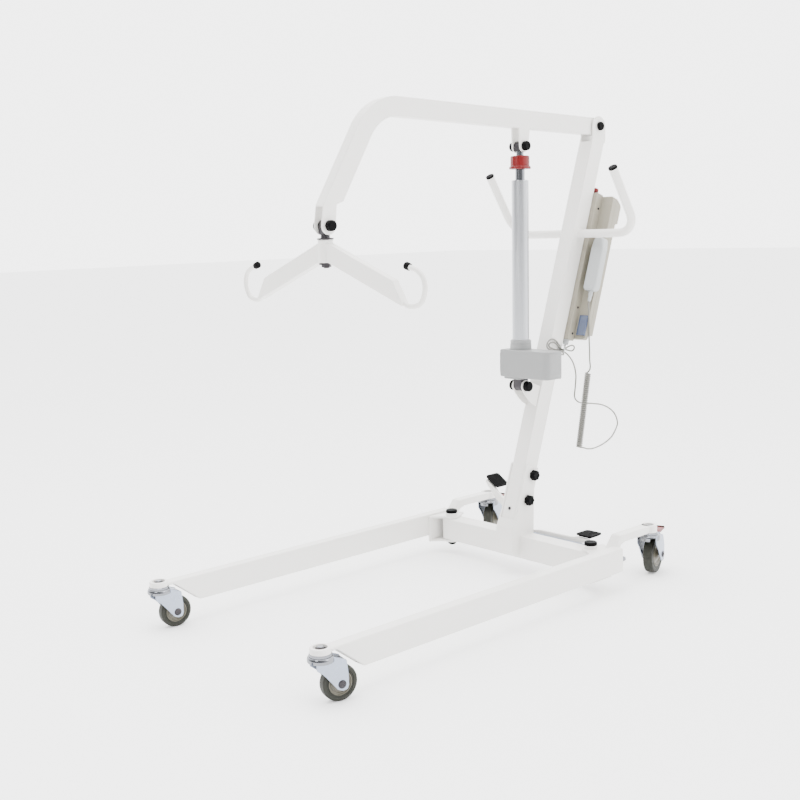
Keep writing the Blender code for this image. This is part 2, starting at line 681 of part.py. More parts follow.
def combined(operation, first, second):
    """The Boolean union, difference or intersection of two meshes, as one mesh."""
    made = bpy.data.objects.new("combined", first)
    tool = bpy.data.objects.new("combined_tool", second)
    for obj in (made, tool):
        bpy.context.scene.collection.objects.link(obj)
    boolean = made.modifiers.new("combine", "BOOLEAN")
    boolean.operation = operation
    boolean.solver = "EXACT"
    boolean.object = tool
    mesh = evaluated_mesh(made, 0.000001)
    bpy.data.objects.remove(tool)
    return mesh


# Casters, each in its own frame: the swivel axis is Z, the wheel trails along +Y

def caster(lift, end, side):
    front = end == "front"
    sign = SIDES[side]
    radius = FRONT_WHEEL_RADIUS if front else REAR_WHEEL_RADIUS
    tread = FRONT_TREAD if front else REAR_TREAD
    trail = FRONT_TRAIL if front else REAR_TRAIL
    mount = FRONT_MOUNT_Z if front else REAR_MOUNT_Z
    place = (sign * FRONT_CASTER_X, FRONT_CASTER_Y) if front else (sign * REAR_CASTER_X, REAR_CASTER_Y)
    heading = (FRONT_HEADINGS if front else REAR_HEADINGS)[side]
    tag = end + "_" + side
    frame = lift.frame(tag + "_caster_frame", (*place, 0), lift.root, turn_z=math.radians(heading - 90))
    caster_stem(lift, tag, frame, mount, FRONT_BOSS_FLOOR if front else REAR_BOSS_FLOOR)
    half = tread / 2 + (FRONT_WHEEL_CLEARANCE if front else REAR_WHEEL_CLEARANCE)
    if front:
        fork = fork_crown(lift, tag, frame, mount, half, FRONT_CROWN_RADIUS, mount - FRONT_SKIRT_REACH)
        fork_roof(lift, fork, mount, half)
        fork_cheeks(lift, fork, mount, half, radius, trail, FRONT_FORK_CORNER, FRONT_CHEEK_WAIST)
    else:
        fork = fork_crown(lift, tag, frame, mount, half, REAR_CROWN_RADIUS, mount - REAR_SKIRT_REACH)
        fork_cheeks(lift, fork, mount, half, radius, trail, REAR_FORK_CORNER, REAR_CHEEK_WAIST)
        brake_ears(lift, fork)
        brake_pedal(lift, tag, frame)
    axle_bolt(lift, fork, half, radius, trail)
    caster_wheel(lift, tag, frame, radius, tread, trail)


def caster_stem(lift, tag, frame, mount, floor):
    """The threaded bolt through the boss, its nut in the recess, and the fixed upper race."""
    top = mount + floor
    low = mount - STEM_REACH
    stem = turned([(0, top + 0.0075), (STEM_RADIUS, top + 0.0075), (STEM_RADIUS, mount - GAP),
                   (RACE_RADIUS, mount - GAP), (RACE_RADIUS, mount - RACE_HEIGHT),
                   (STEM_RADIUS, mount - RACE_HEIGHT), (STEM_RADIUS, low), (0, low)], PIN_SIDES)
    made = lift.piece(tag + "_caster_stem", stem, lift.zinc, frame)
    lift.join(made, cylinder((0, 0, top + GAP), (0, 0, top + 0.006), 0.0098, sides=6))


def fork_top(mount):
    return mount - RACE_HEIGHT - GAP


def fork_crown(lift, tag, frame, mount, half, crown_radius, skirt_z):
    """The round swivel head with the lower race on it, open below and behind for the wheel."""
    top = fork_top(mount)
    low = mount - CROWN_REACH
    fork = lift.piece(tag + "_caster_fork",
                      turned([(0, top), (RACE_RADIUS + 0.001, top), (crown_radius, top - 0.004),
                                                    (crown_radius, skirt_z), (0, skirt_z)]), lift.zinc, frame)
    lift.cut(fork, box((-half, half), (FORK_SHEET - crown_radius, 0.05), (skirt_z - 0.01, low)),
             box((-half, half), (0.0205, 0.05), (skirt_z - 0.01, mount)))
    return fork


def fork_roof(lift, fork, mount, half):
    """The sheet between a front fork's cheeks: level under the crown, then sloping down behind it."""
    top = fork_top(mount) - 0.002
    corner_y = FRONT_FORK_CORNER[0] - 0.001
    corner_z = FRONT_FORK_CORNER[1] - 0.0008
    front_y = CHEEK_FRONT_Y + 0.001
    low = mount - CROWN_REACH + 0.0005
    outline = [(front_y, top), (0.0165, top), (corner_y, corner_z),
               (corner_y - 0.0006, corner_z - FORK_SHEET), (0.0155, low), (front_y, low)]
    lift.join(fork, plate(outline, "x", -half - 0.001, half + 0.001))


def fork_cheeks(lift, fork, mount, half, radius, trail, corner, waist):
    """Two cheeks: they cover the wheel's middle, upright behind and slanting forward to the crown."""
    top = fork_top(mount) - 0.0015
    back = trail + CHEEK_BACK
    outline = rounded([(CHEEK_FRONT_Y, top), (0.018, top), corner, (back, 1.45 * radius),
                       (back, 0.93 * radius), (back - 0.003, 0.67 * radius), (trail + 0.001, 0.63 * radius),
                       (trail - 0.26 * radius, 0.76 * radius), waist,
                       (CHEEK_FRONT_Y, mount - CROWN_REACH - 0.0180)],
                      [0, 0, 0.004, 0, 0, 0, 0, 0.004, 0, 0], 1)
    for sign in (-1, 1):
        lift.join(fork, plate(outline, "x", *sorted((sign * half, sign * (half + FORK_SHEET)))))
    lift.cut(fork, cylinder((0, 0, mount - 0.03), (0, 0, mount + 0.01), STEM_RADIUS + GAP))


def axle_bolt(lift, fork, half, radius, trail):
    outer = half + FORK_SHEET
    lift.join(fork, cylinder((-half - 0.001, trail, radius), (half + 0.001, trail, radius), AXLE_RADIUS,
                             sides=10))
    for sign in (-1, 1):
        lift.join(fork, cylinder((sign * (outer - 0.001), trail, radius),
                                 (sign * (outer + 0.0035), trail, radius), 0.0075, sides=6))


def caster_wheel(lift, tag, frame, radius, tread, trail):
    centre = (0, trail, radius)
    rim = radius * 0.66
    half = tread / 2
    facet = math.pi / WHEEL_SIDES
    outer = radius / math.cos(facet)
    bore = AXLE_RADIUS + GAP
    turn = (Matrix.Translation(centre) @ Matrix.Rotation(math.radians(90), 4, "Y")
            @ Matrix.Rotation(facet, 4, "Z"))
    tyre = turned([(rim + GAP, half - 0.0015), (outer - 0.004, half - 0.0015), (outer, half - 0.0065),
                   (outer, -half + 0.0065), (outer - 0.004, -half + 0.0015), (rim + GAP, -half + 0.0015),
                   (rim + GAP, half - 0.0015)], WHEEL_SIDES)
    tyre.transform(turn)
    lift.piece(tag + "_tyre", tyre, lift.tyre, frame, centre)
    hub = turned([(bore, half + 0.002), (0.012, half + 0.002), (rim, half - 0.002), (rim, -half + 0.002),
                  (0.012, -half - 0.002), (bore, -half - 0.002), (bore, half + 0.002)], WHEEL_SIDES)
    hub.transform(turn)
    lift.piece(tag + "_wheel_hub", hub, lift.hub, frame, centre)


def brake_ears(lift, fork):
    """Two ears behind a rear fork's crown, with the pin that the brake pedal hinges on."""
    y, z = BRAKE_HINGE
    ear = [(0.0165, z - 0.0035), (y + 0.003, z - 0.0045), (y + 0.004, z + 0.0025), (y + 0.001, z + 0.004),
           (0.0150, z + 0.004)]
    for sign in (-1, 1):
        lift.join(fork, plate(ear, "x", *sorted((sign * BRAKE_EAR_X, sign * (BRAKE_EAR_X + FORK_SHEET)))))
    lift.join(fork, cylinder((-BRAKE_EAR_X - 0.001, y, z), (BRAKE_EAR_X + 0.001, y, z), BRAKE_PIN_RADIUS,
                             sides=10))


def brake_pedal(lift, tag, frame):
    """The foot brake behind the fork: a red lever with a rolled end, pressed down onto the wheel."""
    y, z = BRAKE_HINGE
    lever = arc((y, z), 0.0038, 90, 230, 4) + [(y + 0.008, z - 0.0035), (y + 0.051, z - 0.0005)]
    lever += arc((y + 0.0535, z + 0.0025), 0.0035, 240, 450, 5) + [(y + 0.016, z + 0.0055)]
    half = BRAKE_EAR_X - 0.001
    pedal = lift.piece(tag + "_brake_pedal", plate(lever, "x", -half, half), lift.red, frame, (0, y, z))
    lift.cut(pedal, cylinder((-0.02, y, z), (0.02, y, z), BRAKE_PIN_RADIUS + GAP, sides=10))


# Mast

def mast(lift):
    half = MAST_DEPTH / 2
    xs = (-MAST_WIDTH / 2, MAST_WIDTH / 2)
    column = lift.piece("mast", box(xs, (-half, half), (MAST_FOOT_S, MAST_REAR_TOP_S)), lift.paint, lift.mast)
    pivot = to_mast(*BOOM_PIVOT)
    lift.join(column, plate(head_outline(pivot, half), "x", *xs))
    wall = MAST_WALL
    inner_xs = (xs[0] + wall, xs[1] - wall)
    lift.cut(column, box(inner_xs, (-half + wall, half - wall), (MAST_FOOT_S - 0.01, MAST_REAR_TOP_S + 0.01)),
             box(inner_xs, (-half - 0.05, half - wall), (MAST_FRONT_TOP_S, 1.3)),
             box(inner_xs, (-half - 0.05, half + 0.05), (MAST_REAR_TOP_S, 1.3)))
    lift.cut(column, cylinder((-0.05, *pivot), (0.05, *pivot), BOOM_PIN_RADIUS + GAP))
    for t, s in MAST_BOLTS:
        lift.cut(column, cylinder((-0.05, t, s), (0.05, t, s), MAST_BOLT_RADIUS + GAP))
    lift.cut(column, cylinder((-0.05, HANDLE_BAR_T, HANDLE_BAR_S), (0.05, HANDLE_BAR_T, HANDLE_BAR_S),
                              HANDLE_RADIUS + GAP + 0.0001, sides=2 * ROUND))
    lift.join(column, *actuator_bracket(half))
    pin = to_mast(*ACTUATOR_BOTTOM)
    lift.cut(column, cylinder((-0.05, *pin), (0.05, *pin), ACTUATOR_PIN_RADIUS + GAP))
    return column


def head_outline(pivot, half):
    """The cheeks that hold the boom, in (t, s): round over the pivot, and upright sides down to the tube."""
    lean = math.degrees(MAST_LEAN)
    over = arc(pivot, HEAD_RADIUS, 180 + lean, lean, 9)
    down = (math.sin(MAST_LEAN), -math.cos(MAST_LEAN))
    rear = (over[-1][0] + down[0] * 0.040, over[-1][1] + down[1] * 0.040)
    reach = (-half - over[0][0]) / down[0]
    front = (-half, over[0][1] + down[1] * reach)
    return over + [rear, (half, rear[1] - 0.010), (half, MAST_FRONT_TOP_S - 0.05),
                   (-half, MAST_FRONT_TOP_S - 0.05), front]


def actuator_bracket(half):
    """Two curved plates that carry the actuator's lower pin in front of the mast."""
    pin = to_mast(*ACTUATOR_BOTTOM)
    nose = 0.0155
    curve = [to_mast(0.0107, 0.4855), to_mast(0.0165, 0.4735), to_mast(0.0257, 0.4622),
             to_mast(0.0345, 0.4530), to_mast(0.0449, 0.4441), to_mast(0.0560, 0.4375)]
    foot = (-half + 0.001, to_mast(0.062, 0.432)[1])
    outline = [(-half + 0.001, pin[1] + 0.012)] + arc(pin, nose, 95, 215, 5) + curve[1:] + [foot]
    return [plate(outline, "x", *sorted((x * BRACKET_INNER_X, x * BRACKET_OUTER_X))) for x in (-1, 1)]


def mast_bolts(lift):
    seat = SOCKET_HALF_WIDTH + GAP
    for name, place in zip(("mast_bolt_upper", "mast_bolt_lower"), MAST_BOLTS):
        headed_pin(lift, name, place, MAST_BOLT_RADIUS, seat + KNOB_HEIGHT, KNOB_RADIUS, seat, lift.black,
                   lift.mast)


def push_handle(lift):
    """A bent tube that passes through the mast and is fixed in its side walls."""
    bar = from_mast(HANDLE_BAR_T, HANDLE_BAR_S)
    ends = [Vector((sign * HANDLE_X, *HANDLE_END)) for sign in (-1, 1)]
    corners = [Vector((sign * HANDLE_X, *bar)) for sign in (-1, 1)]
    route = filleted_path([ends[0], corners[0], corners[1], ends[1]], HANDLE_BEND_RADIUS)
    lift.piece("push_handle", tube(route, HANDLE_RADIUS, 2), lift.paint)
    for side, sign in SIDES.items():
        end = ends[0] if sign < 0 else ends[1]
        corner = corners[0] if sign < 0 else corners[1]
        out = (end - corner).normalized()
        lift.piece("handle_cap_" + side, cylinder(end + out * GAP, end + out * 0.006, HANDLE_RADIUS + 0.0006,
                                                  bevel=0.002), lift.black)


# Boom

def boom_edges(half_height, start):
    """The tube's upper and lower edges in (v, w): straight from the rear, then an arc."""
    reach = BOOM_BEND_RADIUS * math.tan(BOOM_BEND / 2)
    centre = (-BOOM_CORNER + reach, -BOOM_BEND_RADIUS)
    end = 90 + math.degrees(BOOM_BEND)
    upper = [(start, half_height)] + arc(centre, BOOM_BEND_RADIUS + half_height, 90, end, 7)
    lower = arc(centre, BOOM_BEND_RADIUS - half_height, end, 90, 7) + [(start, -half_height)]
    return upper, lower


def down_to(point, height):
    """The point at a height on the slanting line through a point, along the boom's bent part."""
    return (point[0] + (height - point[1]) / math.tan(BOOM_BEND), height)


def boom(lift):
    half = BOOM_HEIGHT / 2
    side = BOOM_WIDTH / 2
    upper, lower = boom_edges(half, 0.0)
    pin = to_boom(*SWING_PIN)
    tab = arc(pin, TAB_RADIUS, 172, 368, 8)
    inner_end = down_to(lower[0], TAB_REAR_W)
    ear = to_boom(*ACTUATOR_TOP)
    ears = ([(ear[0] - 0.018, 0.0015 - half)] + arc(ear, 0.0155, 195, 345, 8)
            + [(ear[0] + 0.022, 0.0015 - half)])
    outline = (upper + [down_to(upper[-1], TAB_FRONT_W)] + tab
               + [(tab[-1][0] + 0.0035, TAB_REAR_W - 0.007), inner_end])
    outline += lower[:-1] + arc((0, 0), half, -90, 90, 7)[:-1]
    main = lift.piece("boom", plate(outline, "x", -side, side), lift.paint, lift.boom)
    lift.join(main, plate(ears, "x", -side, side))
    upper_in, lower_in = boom_edges(half - BOOM_WALL, 0.030)
    bore = upper_in + [down_to(upper_in[-1], TAB_FRONT_W - 0.004), (pin[0] - 0.05, TAB_FRONT_W - 0.004),
                       (pin[0] - 0.05, -0.36), (pin[0] + 0.05, -0.36), (pin[0] + 0.05, TAB_REAR_W - 0.004),
                       down_to(lower_in[0], TAB_REAR_W - 0.004)] + lower_in
    lift.cut(main, plate(bore, "x", -side + BOOM_WALL, side - BOOM_WALL))
    lift.cut(main, box((-EAR_INNER_X, EAR_INNER_X), (ear[0] - 0.05, ear[0] + 0.05),
                       (ear[1] - 0.05, -half + 0.0005)))
    lift.join(main, cylinder((GAP - HEAD_INNER_X, 0, 0), (HEAD_INNER_X - GAP, 0, 0), 0.014))
    lift.cut(main, cylinder((-0.05, 0, 0), (0.05, 0, 0), BOOM_PIN_RADIUS + GAP),
             cylinder((-0.05, *pin), (0.05, *pin), SWING_PIN_RADIUS + GAP),
             cylinder((-0.05, *ear), (0.05, *ear), ACTUATOR_PIN_RADIUS + GAP))
    return main


def headed_pin(lift, name, point, radius, reach, cap_radius, seat, look, parent, inner=None):
    """A pin along X with a domed cap outside each plate at x = seat, or from x = inner one headed stub."""
    edge = 0.0025
    head = [(0, reach), (cap_radius - edge, reach), (cap_radius, reach - edge), (cap_radius, seat),
            (radius, seat)]
    tail = [(radius, inner), (0, inner)] if inner is not None else [(r, -h) for r, h in reversed(head)]
    pin = turned(head + tail, PIN_SIDES)
    pin.transform(Matrix.Translation((0, *point)) @ Matrix.Rotation(math.radians(90), 4, "Y"))
    return lift.piece(name, pin, look, parent, (0, *point))


def boom_pivot_bolt(lift):
    seat = MAST_WIDTH / 2 + GAP
    headed_pin(lift, "boom_pivot_bolt", (0, 0), BOOM_PIN_RADIUS, seat + 0.009, BOOM_CAP_RADIUS, seat,
               lift.black, lift.boom)


def actuator_pins(lift):
    """The top pin is two headed stubs in the boom's ears; the bottom one goes right through."""
    top = to_boom(*ACTUATOR_TOP)
    seat = BOOM_WIDTH / 2 + GAP
    for side, sign in SIDES.items():
        stub = headed_pin(lift, "actuator_top_pin_" + side, top, ACTUATOR_PIN_RADIUS, TOP_CAP_X,
                          TOP_CAP_RADIUS, seat, lift.black, lift.boom, EAR_INNER_X)
        if sign < 0:
            stub.data.transform(Matrix.Rotation(math.radians(180), 4, "Z"))
    headed_pin(lift, "actuator_lower_pin", (0, 0), ACTUATOR_PIN_RADIUS, BOTTOM_CAP_X, BOTTOM_CAP_RADIUS,
               BRACKET_OUTER_X + GAP, lift.black, lift.actuator)


# Actuator, in its own frame: h along it from the lower pin

def actuator(lift):
    length = math.dist(ACTUATOR_BOTTOM, ACTUATOR_TOP)
    housing_shape = rounded([(HOUSING_LEFT_X, HOUSING_FRONT), (HOUSING_RIGHT_X, HOUSING_FRONT),
                             (HOUSING_RIGHT_X, HOUSING_REAR), (HOUSING_LEFT_X, HOUSING_REAR)],
                            [0.008, 0.020, 0.014, 0.012], 3)
    block = combined("INTERSECT", plate(housing_shape, "z", HOUSING_LOW_H, HOUSING_HIGH_H), barrel_end())
    housing = lift.piece("motor_housing", block, lift.motor, lift.actuator)
    lug = ([(-0.014, HOUSING_LOW_H + 0.004)] + arc((0, 0), 0.0135, 180, 360, 10)
           + [(0.014, HOUSING_LOW_H + 0.004)])
    step = rounded([(HOUSING_STEP_XS[0], HOUSING_FRONT + 0.004), (HOUSING_STEP_XS[1], HOUSING_FRONT + 0.004),
                    (HOUSING_STEP_XS[1], HOUSING_REAR - 0.004),
                    (HOUSING_STEP_XS[0], HOUSING_REAR - 0.004)], 0.006, 2)
    lift.join(housing, plate(step, "z", HOUSING_STEP_H, HOUSING_LOW_H + 0.001),
              plate(lug, "x", -0.0135, 0.0135))
    lift.cut(housing, cable_inlet())
    lift.cut(housing, cylinder((-0.05, 0, 0), (0.05, 0, 0), ACTUATOR_PIN_RADIUS + GAP))
    collar_profile = [(0.0, COLLAR_TOP_H), (0.0245, COLLAR_TOP_H), (COLLAR_RADIUS, COLLAR_TOP_H - 0.004),
                      (COLLAR_RADIUS + 0.001, HOUSING_HIGH_H + GAP), (0.0, HOUSING_HIGH_H + GAP)]
    lift.piece("tube_collar", turned(collar_profile), lift.motor, lift.actuator)
    floor = COLLAR_TOP_H + 0.010
    tube_profile = [(0.0, floor), (TUBE_BORE, floor), (TUBE_BORE, TUBE_TOP_H),
                    (TUBE_RADIUS - 0.001, TUBE_TOP_H), (TUBE_RADIUS, TUBE_TOP_H - 0.001),
                    (TUBE_RADIUS, COLLAR_TOP_H + GAP), (0.0, COLLAR_TOP_H + GAP)]
    lift.piece("actuator_tube", turned(tube_profile), lift.aluminium, lift.actuator)
    rod_profile = [(0.0, length - 0.009), (0.0095, length - 0.009), (0.0095, SAFETY_BOTTOM_H),
                   (ROD_RADIUS, SAFETY_BOTTOM_H - 0.001), (ROD_RADIUS, COLLAR_TOP_H + 0.035),
                   (0.0, COLLAR_TOP_H + 0.035)]
    rod = lift.piece("actuator_rod", turned(rod_profile), lift.chrome, lift.actuator, (0, 0, length))
    eye = [(-0.0125, length - 0.0125)] + arc((0, length), 0.0125, 180, 0, 8) + [(0.0125, length - 0.0125)]
    lift.join(rod, plate(eye, "x", GAP - EAR_INNER_X, EAR_INNER_X - GAP))
    lift.cut(rod, cylinder((-0.05, 0, length), (0.05, 0, length), ACTUATOR_PIN_RADIUS + GAP))
    safety_profile = [(0.0098, SAFETY_TOP_H), (0.0225, SAFETY_TOP_H), (0.024, SAFETY_TOP_H - 0.0015),
                      (0.0245, SAFETY_BOTTOM_H + 0.008), (0.0275, SAFETY_BOTTOM_H + 0.005),
                      (0.0275, SAFETY_BOTTOM_H + 0.001), (0.0098, SAFETY_BOTTOM_H + 0.001),
                      (0.0098, SAFETY_TOP_H)]
    lift.piece("lowering_collar", turned(safety_profile), lift.red, lift.actuator, (0, 0, SAFETY_BOTTOM_H))


def barrel_end():
    """What is left of the housing when its right end is rounded between its floor and its roof."""
    middle = (HOUSING_LOW_H + HOUSING_HIGH_H) / 2
    reach = (HOUSING_HIGH_H - HOUSING_LOW_H) / 2 + 0.002
    radius = (reach ** 2 + HOUSING_BULGE ** 2) / (2 * HOUSING_BULGE)
    spread = math.degrees(math.asin(reach / radius))
    end = arc((HOUSING_RIGHT_X + 0.0001 - radius, middle), radius, -spread, spread, 5)
    left_x = HOUSING_LEFT_X - 0.01
    return plate([(left_x, middle - reach)] + end + [(left_x, middle + reach)], "y", HOUSING_FRONT - 0.01,
                 HOUSING_REAR + 0.01)


def cable_inlet():
    """The slot behind the motor housing: the housing tilts over the cable's end, which stays where it is."""
    x, h = INLET_PLACE
    half = INLET_WIDTH / 2
    return box((x - half, x + half), (HOUSING_REAR - INLET_DEPTH, HOUSING_REAR + 0.01),
               (h - half, h + INLET_RISE))


# Spreader bar and its swing bracket

def swing_bracket(lift):
    """The steel block between the boom's tabs, with the stem that the spreader bar turns on."""
    y, z = SWING_PIN
    block = (arc((y, z), 0.0125, 180, 0, 8)
             + [(y + 0.0095, SPREADER_TOP_Z + 0.0115), (y - 0.0095, SPREADER_TOP_Z + 0.0115)])
    bracket = lift.piece("swing_bracket", plate(block, "x", -0.0105, 0.0105), lift.steel, origin=(0, y, z))
    stem_low = SPREADER_BOTTOM_Z - 0.012
    for low, high, radius in ((SPREADER_TOP_Z + GAP, SPREADER_TOP_Z + 0.0035, 0.0185),
                              (SPREADER_TOP_Z + 0.003, SPREADER_TOP_Z + 0.0125, 0.010),
                              (stem_low, SPREADER_TOP_Z + 0.004, 0.0065),
                              (SPREADER_BOTTOM_Z - 0.0045, SPREADER_BOTTOM_Z - GAP, 0.0160)):
        lift.join(bracket, cylinder((0, y, low), (0, y, high), radius))
    lift.join(bracket, cylinder((0, y, stem_low), (0, y, SPREADER_BOTTOM_Z - 0.004), 0.011, sides=6))
    lift.cut(bracket, cylinder((-0.05, y, z), (0.05, y, z), SWING_PIN_RADIUS + GAP))
    headed_pin(lift, "swing_pin", SWING_PIN, SWING_PIN_RADIUS, SWING_CAP_X, SWING_CAP_RADIUS,
               BOOM_WIDTH / 2 + GAP, lift.black, lift.root)


def spreader_bar(lift):
    y = SWING_PIN[0]
    sleeve = ring(SLEEVE_RADIUS, 0.0065 + GAP, SPREADER_BOTTOM_Z, SPREADER_TOP_Z)
    sleeve.transform(Matrix.Translation((0, y, 0)))
    bar = lift.piece("spreader_bar", sleeve, lift.paint, origin=(0, y, SPREADER_TOP_Z))
    drop = math.tan(ARM_DROP)
    tall = ARM_HEIGHT / math.cos(ARM_DROP)
    top = SPREADER_TOP_Z - 0.001
    for sign in (-1, 1):
        top_end = (0.2240, top - 0.2240 * drop)
        low_end = (0.2600, top - tall - 0.2600 * drop)
        arm = [(0.012, top - 0.012 * drop), top_end, low_end, (0.012, top - tall - 0.012 * drop)]
        outline = [(sign * x, z) for x, z in arm]
        lift.join(bar, plate(outline, "y", y - ARM_DEPTH / 2, y + ARM_DEPTH / 2))
        hook = [(0.236, low_end[1] + 0.0175), (0.262, low_end[1] + 0.0040), (0.286, 0.7500), (0.303, 0.7590),
                (0.3130, 0.7830), (0.3085, 0.8060), (0.2930, 0.8200), (0.2700, 0.8275)]
        route = smooth_route([(sign * x, y, z) for x, z in hook], 0.016)
        lift.join(bar, tube(route, HOOK_RADIUS, 2))
    lift.cut(bar, cylinder((0, y, 0.7), (0, y, 1.0), 0.0065 + GAP))
    for side, sign in SIDES.items():
        tip = Vector((sign * 0.2700, y, 0.8275))
        along = (tip - Vector((sign * 0.2930, y, 0.8200))).normalized()
        lift.piece("hook_tip_" + side, cylinder(tip + along * GAP, tip + along * 0.014, HOOK_TIP_RADIUS,
                                                      bevel=0.003), lift.black)


# Pedal linkage

def rod_level(sign):
    """Height of a tie rod: the mean of its crank pin's heights over the swing."""
    mean = CRANK_RADIUS * (1 + math.cos(ROCKER_SWING / 2)) / 2
    return ROCKER_Z + sign * mean


def pedal_rocker(lift):
    """A two-armed rocker: pressing one pedal lifts the other and swings both legs by the crank pins."""
    depth = (ROCKER_FRONT_Y, ROCKER_REAR_Y)
    rocker = lift.piece("pedal_rocker", cylinder((0, depth[0], ROCKER_Z), (0, depth[1], ROCKER_Z), 0.021),
                        lift.paint, origin=(0, depth[0], ROCKER_Z))
    for sign in (-1, 1):
        for mesh in (pedal_arm(depth), pedal_shelf()):
            lift.join(rocker, mirrored(mesh, sign))
    for sign in (-1, 1):
        x, z = crank_pin(sign)
        lift.join(rocker, cylinder((x, lug_point(1)[1] - 0.0045, z), (x, depth[0] + 0.003, z),
                                   CRANK_PIN_RADIUS, sides=12))
    lift.cut(rocker, cylinder((0, 0, ROCKER_Z), (0, 0.1, ROCKER_Z), ROCKER_PIN_RADIUS + GAP))
    return rocker


def crank_pin(sign):
    """The upper pin (+1) pulls the right rod and the lower one (-1) the left rod."""
    swing = ROCKER_SWING / 2
    return (sign * CRANK_RADIUS * math.sin(swing), ROCKER_Z + sign * CRANK_RADIUS * math.cos(swing))


def pedal_arm(depth):
    """The arm in its pressed place: it swells at the hub and ends flat under the pad."""
    outer = PAD_X + PAD_SIZE / 2 - 0.008
    outline = rounded([(0.0, ROCKER_Z + 0.020), (0.045, PAD_SEAT_Z - 0.0045),
                       (PAD_X - 0.037, PAD_SEAT_Z - 0.0035), (PAD_X - 0.020, PAD_SEAT_Z - 0.0005),
                       (outer, PAD_SEAT_Z - 0.0005), (outer, PAD_SEAT_Z - 0.008),
                       (PAD_X - 0.037, PAD_SEAT_Z - 0.0225), (0.045, PAD_SEAT_Z - 0.0255),
                       (0.0, ROCKER_Z - 0.020)],
                      [0, 0.03, 0.02, 0, 0, 0.004, 0.03, 0.03, 0], 2)
    return plate(outline, "y", *depth)


def pedal_shelf():
    return box((PAD_X - 0.014, PAD_X + 0.014), (ROCKER_FRONT_Y + 0.001, PAD_Y + 0.016),
               (PAD_SEAT_Z - 0.004, PAD_SEAT_Z))


def mirrored(mesh, sign):
    """A shape of the right arm as it is, or for the left one mirrored and lifted by the rocker's swing."""
    if sign < 0:
        axis = Vector((0, 0, ROCKER_Z))
        mesh.transform(Matrix.Diagonal((-1, 1, 1, 1)))
        mesh.flip_normals()
        swing = Matrix.Rotation(ROCKER_SWING, 4, "Y")
        mesh.transform(Matrix.Translation(axis) @ swing @ Matrix.Translation(-axis))
    return mesh


def pedal_pads(lift):
    half = PAD_SIZE / 2
    for side, sign in SIDES.items():
        inner = half - PAD_CORNER
        corners = ((-inner, -half), (inner, -half), (half, -inner), (half, inner), (inner, half),
                   (-inner, half), (-half, inner), (-half, -inner))
        outline = [(PAD_X + x, PAD_Y + y) for x, y in corners]
        pad = plate(outline, "z", PAD_SEAT_Z + GAP, PAD_SEAT_Z + GAP + PAD_THICKNESS)
        lift.piece("pedal_pad_" + side, mirrored(pad, sign), lift.black)


def tie_rods(lift):
    for side, sign in SIDES.items():
        level = rod_level(sign)
        x0 = crank_pin(sign)[0]
        lug = lug_point(sign)
        y = lug[1]
        hole = CRANK_PIN_RADIUS + ROD_EYE_CLEARANCE
        outer = 0.0085
        rod = lift.piece("tie_rod_" + side,
                         cylinder((x0 + sign * 0.005, y, level), (lug[0] - sign * 0.005, y, level),
                                                     0.0035, sides=8), lift.zinc, origin=(x0, y, level))
        lift.join(rod, cylinder((x0, y - 0.003, level), (x0, ROCKER_FRONT_Y - GAP, level), outer),
                  cylinder((lug[0], y, level - 0.003), (lug[0], y, level + 0.003), outer))
        lift.cut(rod, cylinder((x0, y - 0.01, level), (x0, y + 0.01, level), hole),
                 cylinder((lug[0], y, level - 0.01), (lug[0], y, level + 0.01), hole))


# Control box, battery, pendant and cords, in the mast's frame

def control_box(lift):
    front = MAST_DEPTH / 2 + GAP
    spine = lift.piece("control_box", box((-BOX_HALF_WIDTH, BOX_HALF_WIDTH), (front, BOX_BACK_T + 0.002),
                                          (BOX_BOTTOM_S, BOX_TOP_S), 0.003), lift.beige, lift.mast)
    tray = rounded([(-TRAY_HALF_WIDTH, BOX_BOTTOM_S + 0.006), (TRAY_HALF_WIDTH, BOX_BOTTOM_S + 0.006),
                    (TRAY_HALF_WIDTH, BOX_TOP_S - 0.004), (-TRAY_HALF_WIDTH, BOX_TOP_S - 0.004)], 0.008)
    lift.join(spine, plate(tray, "y", BOX_BACK_T, TRAY_BACK_T))
    stop = (STOP_PLACE[0], STOP_PLACE[1])
    lift.cut(spine, cylinder((*stop, BOX_TOP_S - 0.010), (*stop, BOX_TOP_S + 0.01),
                             STOP_STEM_RADIUS + STOP_CLEARANCE))
    for x in PLUG_XS.values():
        lift.join(spine, cylinder((x, PLUG_T, PLUG_BOTTOM_S), (x, PLUG_T, BOX_BOTTOM_S + 0.004), 0.0080,
                                  0.0092))
    return spine


def battery_pack(lift):
    """The removable battery: round at its rear edges, with a grip that overhangs at the top."""
    front = TRAY_BACK_T + GAP
    half = TRAY_HALF_WIDTH - 0.001

    def layer(rear, low, high, radius):
        return plate(rounded([(-half, front), (half, front), (half, rear), (-half, rear)],
                             [0, 0, radius, radius], 4),
                     "z", low, high)

    pack = lift.piece("battery_pack", layer(BATTERY_BACK_T, BATTERY_BOTTOM_S, BATTERY_TOP_S - 0.004, 0.024),
                      lift.beige, lift.mast)
    grip = layer(BATTERY_GRIP_T, GRIP_BOTTOM_S, BATTERY_TOP_S, 0.030)
    brow = rounded([(front - 0.01, GRIP_BOTTOM_S - 0.02), (BATTERY_GRIP_T - 0.003, GRIP_BOTTOM_S + 0.001),
                    (BATTERY_GRIP_T + 0.001, GRIP_BOTTOM_S + 0.018),
                    (BATTERY_GRIP_T - 0.005, BATTERY_TOP_S - 0.016), (front + 0.006, BATTERY_TOP_S + 0.001),
                    (front - 0.01, BATTERY_TOP_S + 0.001)],
                   [0, 0.004, 0.006, 0.008, 0, 0])
    lift.join(pack, combined("INTERSECT", grip, plate(brow, "x", -half - 0.01, half + 0.01)))
    return pack


